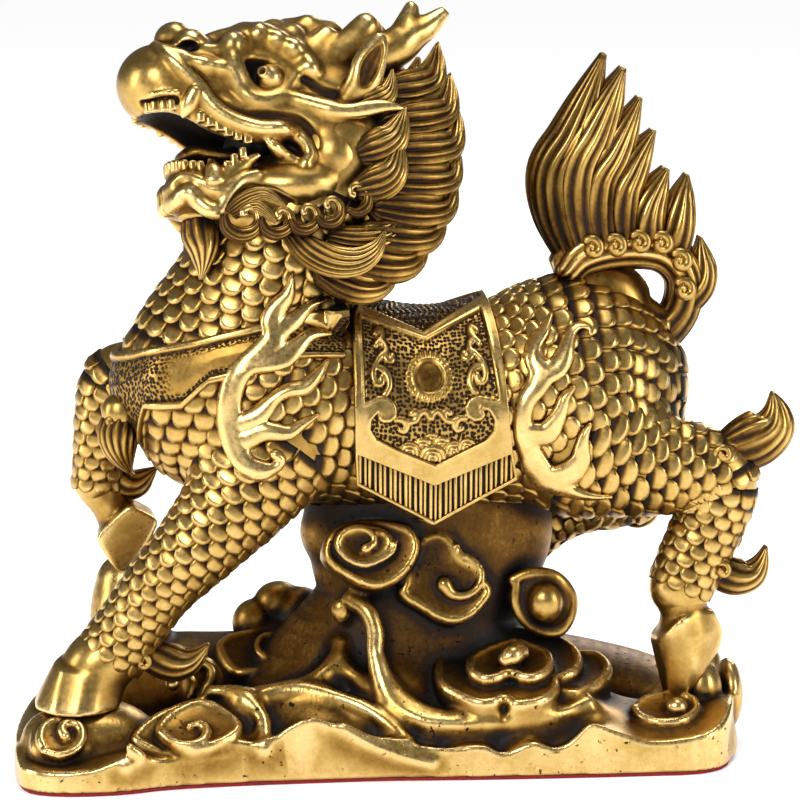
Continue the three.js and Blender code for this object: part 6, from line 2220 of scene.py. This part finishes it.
class Occupied:
    """How much of the space round a point the figure fills, on a coarse grid."""

    def __init__(self, fields, head):
        grid = Field((-108, -58, -12), (106, 56, 198), 2.0)
        cells = np.stack(np.meshgrid(*grid.axes, indexing="ij"), -1).reshape(-1, 3)
        matrix = np.array(head_matrix().inverted())
        full = self.filled(head, cells @ matrix[:3, :3].T + matrix[:3, 3])
        for field in fields:
            full = np.maximum(full, self.filled(field, cells))
        full = np.where(cells[:, 2] < 0, 0.5, full).reshape(grid.d.shape).astype(np.float32)
        self.near = grid.holding(blurred(blurred(full, 2), 1))
        self.wide = grid.holding(blurred(blurred(full, 5), 2))

    @staticmethod
    def filled(field, cells):
        top = field.lo + field.voxel * (np.array(field.d.shape) - 1)
        held = np.all((cells > field.lo) & (cells < top), axis=1)
        full = np.zeros(len(cells))
        full[held] = field.at(cells[held]) < 0
        return full

    def paint_shade_and_patina(self, thing, shaded=0.0):
        """Keeps on each point the painted shade and patina of the whole figure's hollows, with painted shade
        on what faces down, and the painted shadow under the belly where shaded is given.
        """
        points, normals = points_of(thing.data), normals_of(thing.data)
        # Painted shade: darker on what faces down and where the figure crowds round a point; on the base
        # lighter towards the front, with the painted shadow under the belly.
        hollow = DOWNWARD_SHADE * np.clip(-normals[:, 2], 0, 1)
        for space, (out, free, weight) in ((self.near, NEAR_HOLLOW), (self.wide, WIDE_HOLLOW)):
            hollow += weight * np.clip(space.at(points + normals * out) - free, 0, 1)
        if shaded:
            hollow *= 1 - 0.5 * (1 - smooth_step(points[:, 1], -36, -24))
            hollow += shaded * belly_shadow(points)
        paint(thing.data, "hollow", np.clip(hollow, 0, 1))


# The pieces

def dress_figure():
    brass = antique_brass("antique_brass")
    punched = antique_brass("punched_brass", punched=True)
    pitted = antique_brass("pitted_brass", pits=0.9, brush=0.5)
    tree = scale_tree()
    skin = skin_field()
    body = meshed("qilin_body", skin, BODY_MOST, brass)
    wear_from_field(body, skin)
    plate = plate_thing(*scale_plate())
    pieces = [body]
    for name, rows in scale_places(skin).items():
        pieces.append(stamps("scales_" + name, rows, plate, tree, brass))
    bpy.data.objects.remove(plate)
    pieces.append(hooves(brass))
    made, head_shape = head(brass)
    pieces += [made, head_hair(brass), tail(brass), tufts_and_tassel(brass)]
    pieces += saddle_cloth(skin, punched, tree)
    pieces.append(chest_band(skin, punched))
    for side, end in ((-1, "near"), (1, "far")):
        for part, tongues in (("shoulder", SHOULDER_FLAME), ("hip", HIP_FLAME)):
            pieces.append(flame(f"{part}_flame_{end}", skin, tongues, side, brass))
    made, base_shape = cloud_base(pitted)
    pieces.append(made)
    occupied = Occupied([skin, base_shape], head_shape)
    for piece in pieces:
        occupied.paint_shade_and_patina(piece, BELLY_SHADE if piece is made else 0.0)
    return pieces


make_camera()
make_lights()
make_world()
make_floor()
for piece in dress_figure():
    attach(piece, ROOT)
    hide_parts(CASTING)
felt = frame["nodes"]["base_felt"]
felt.data.materials.clear()
felt.data.materials.append(felt_finish())
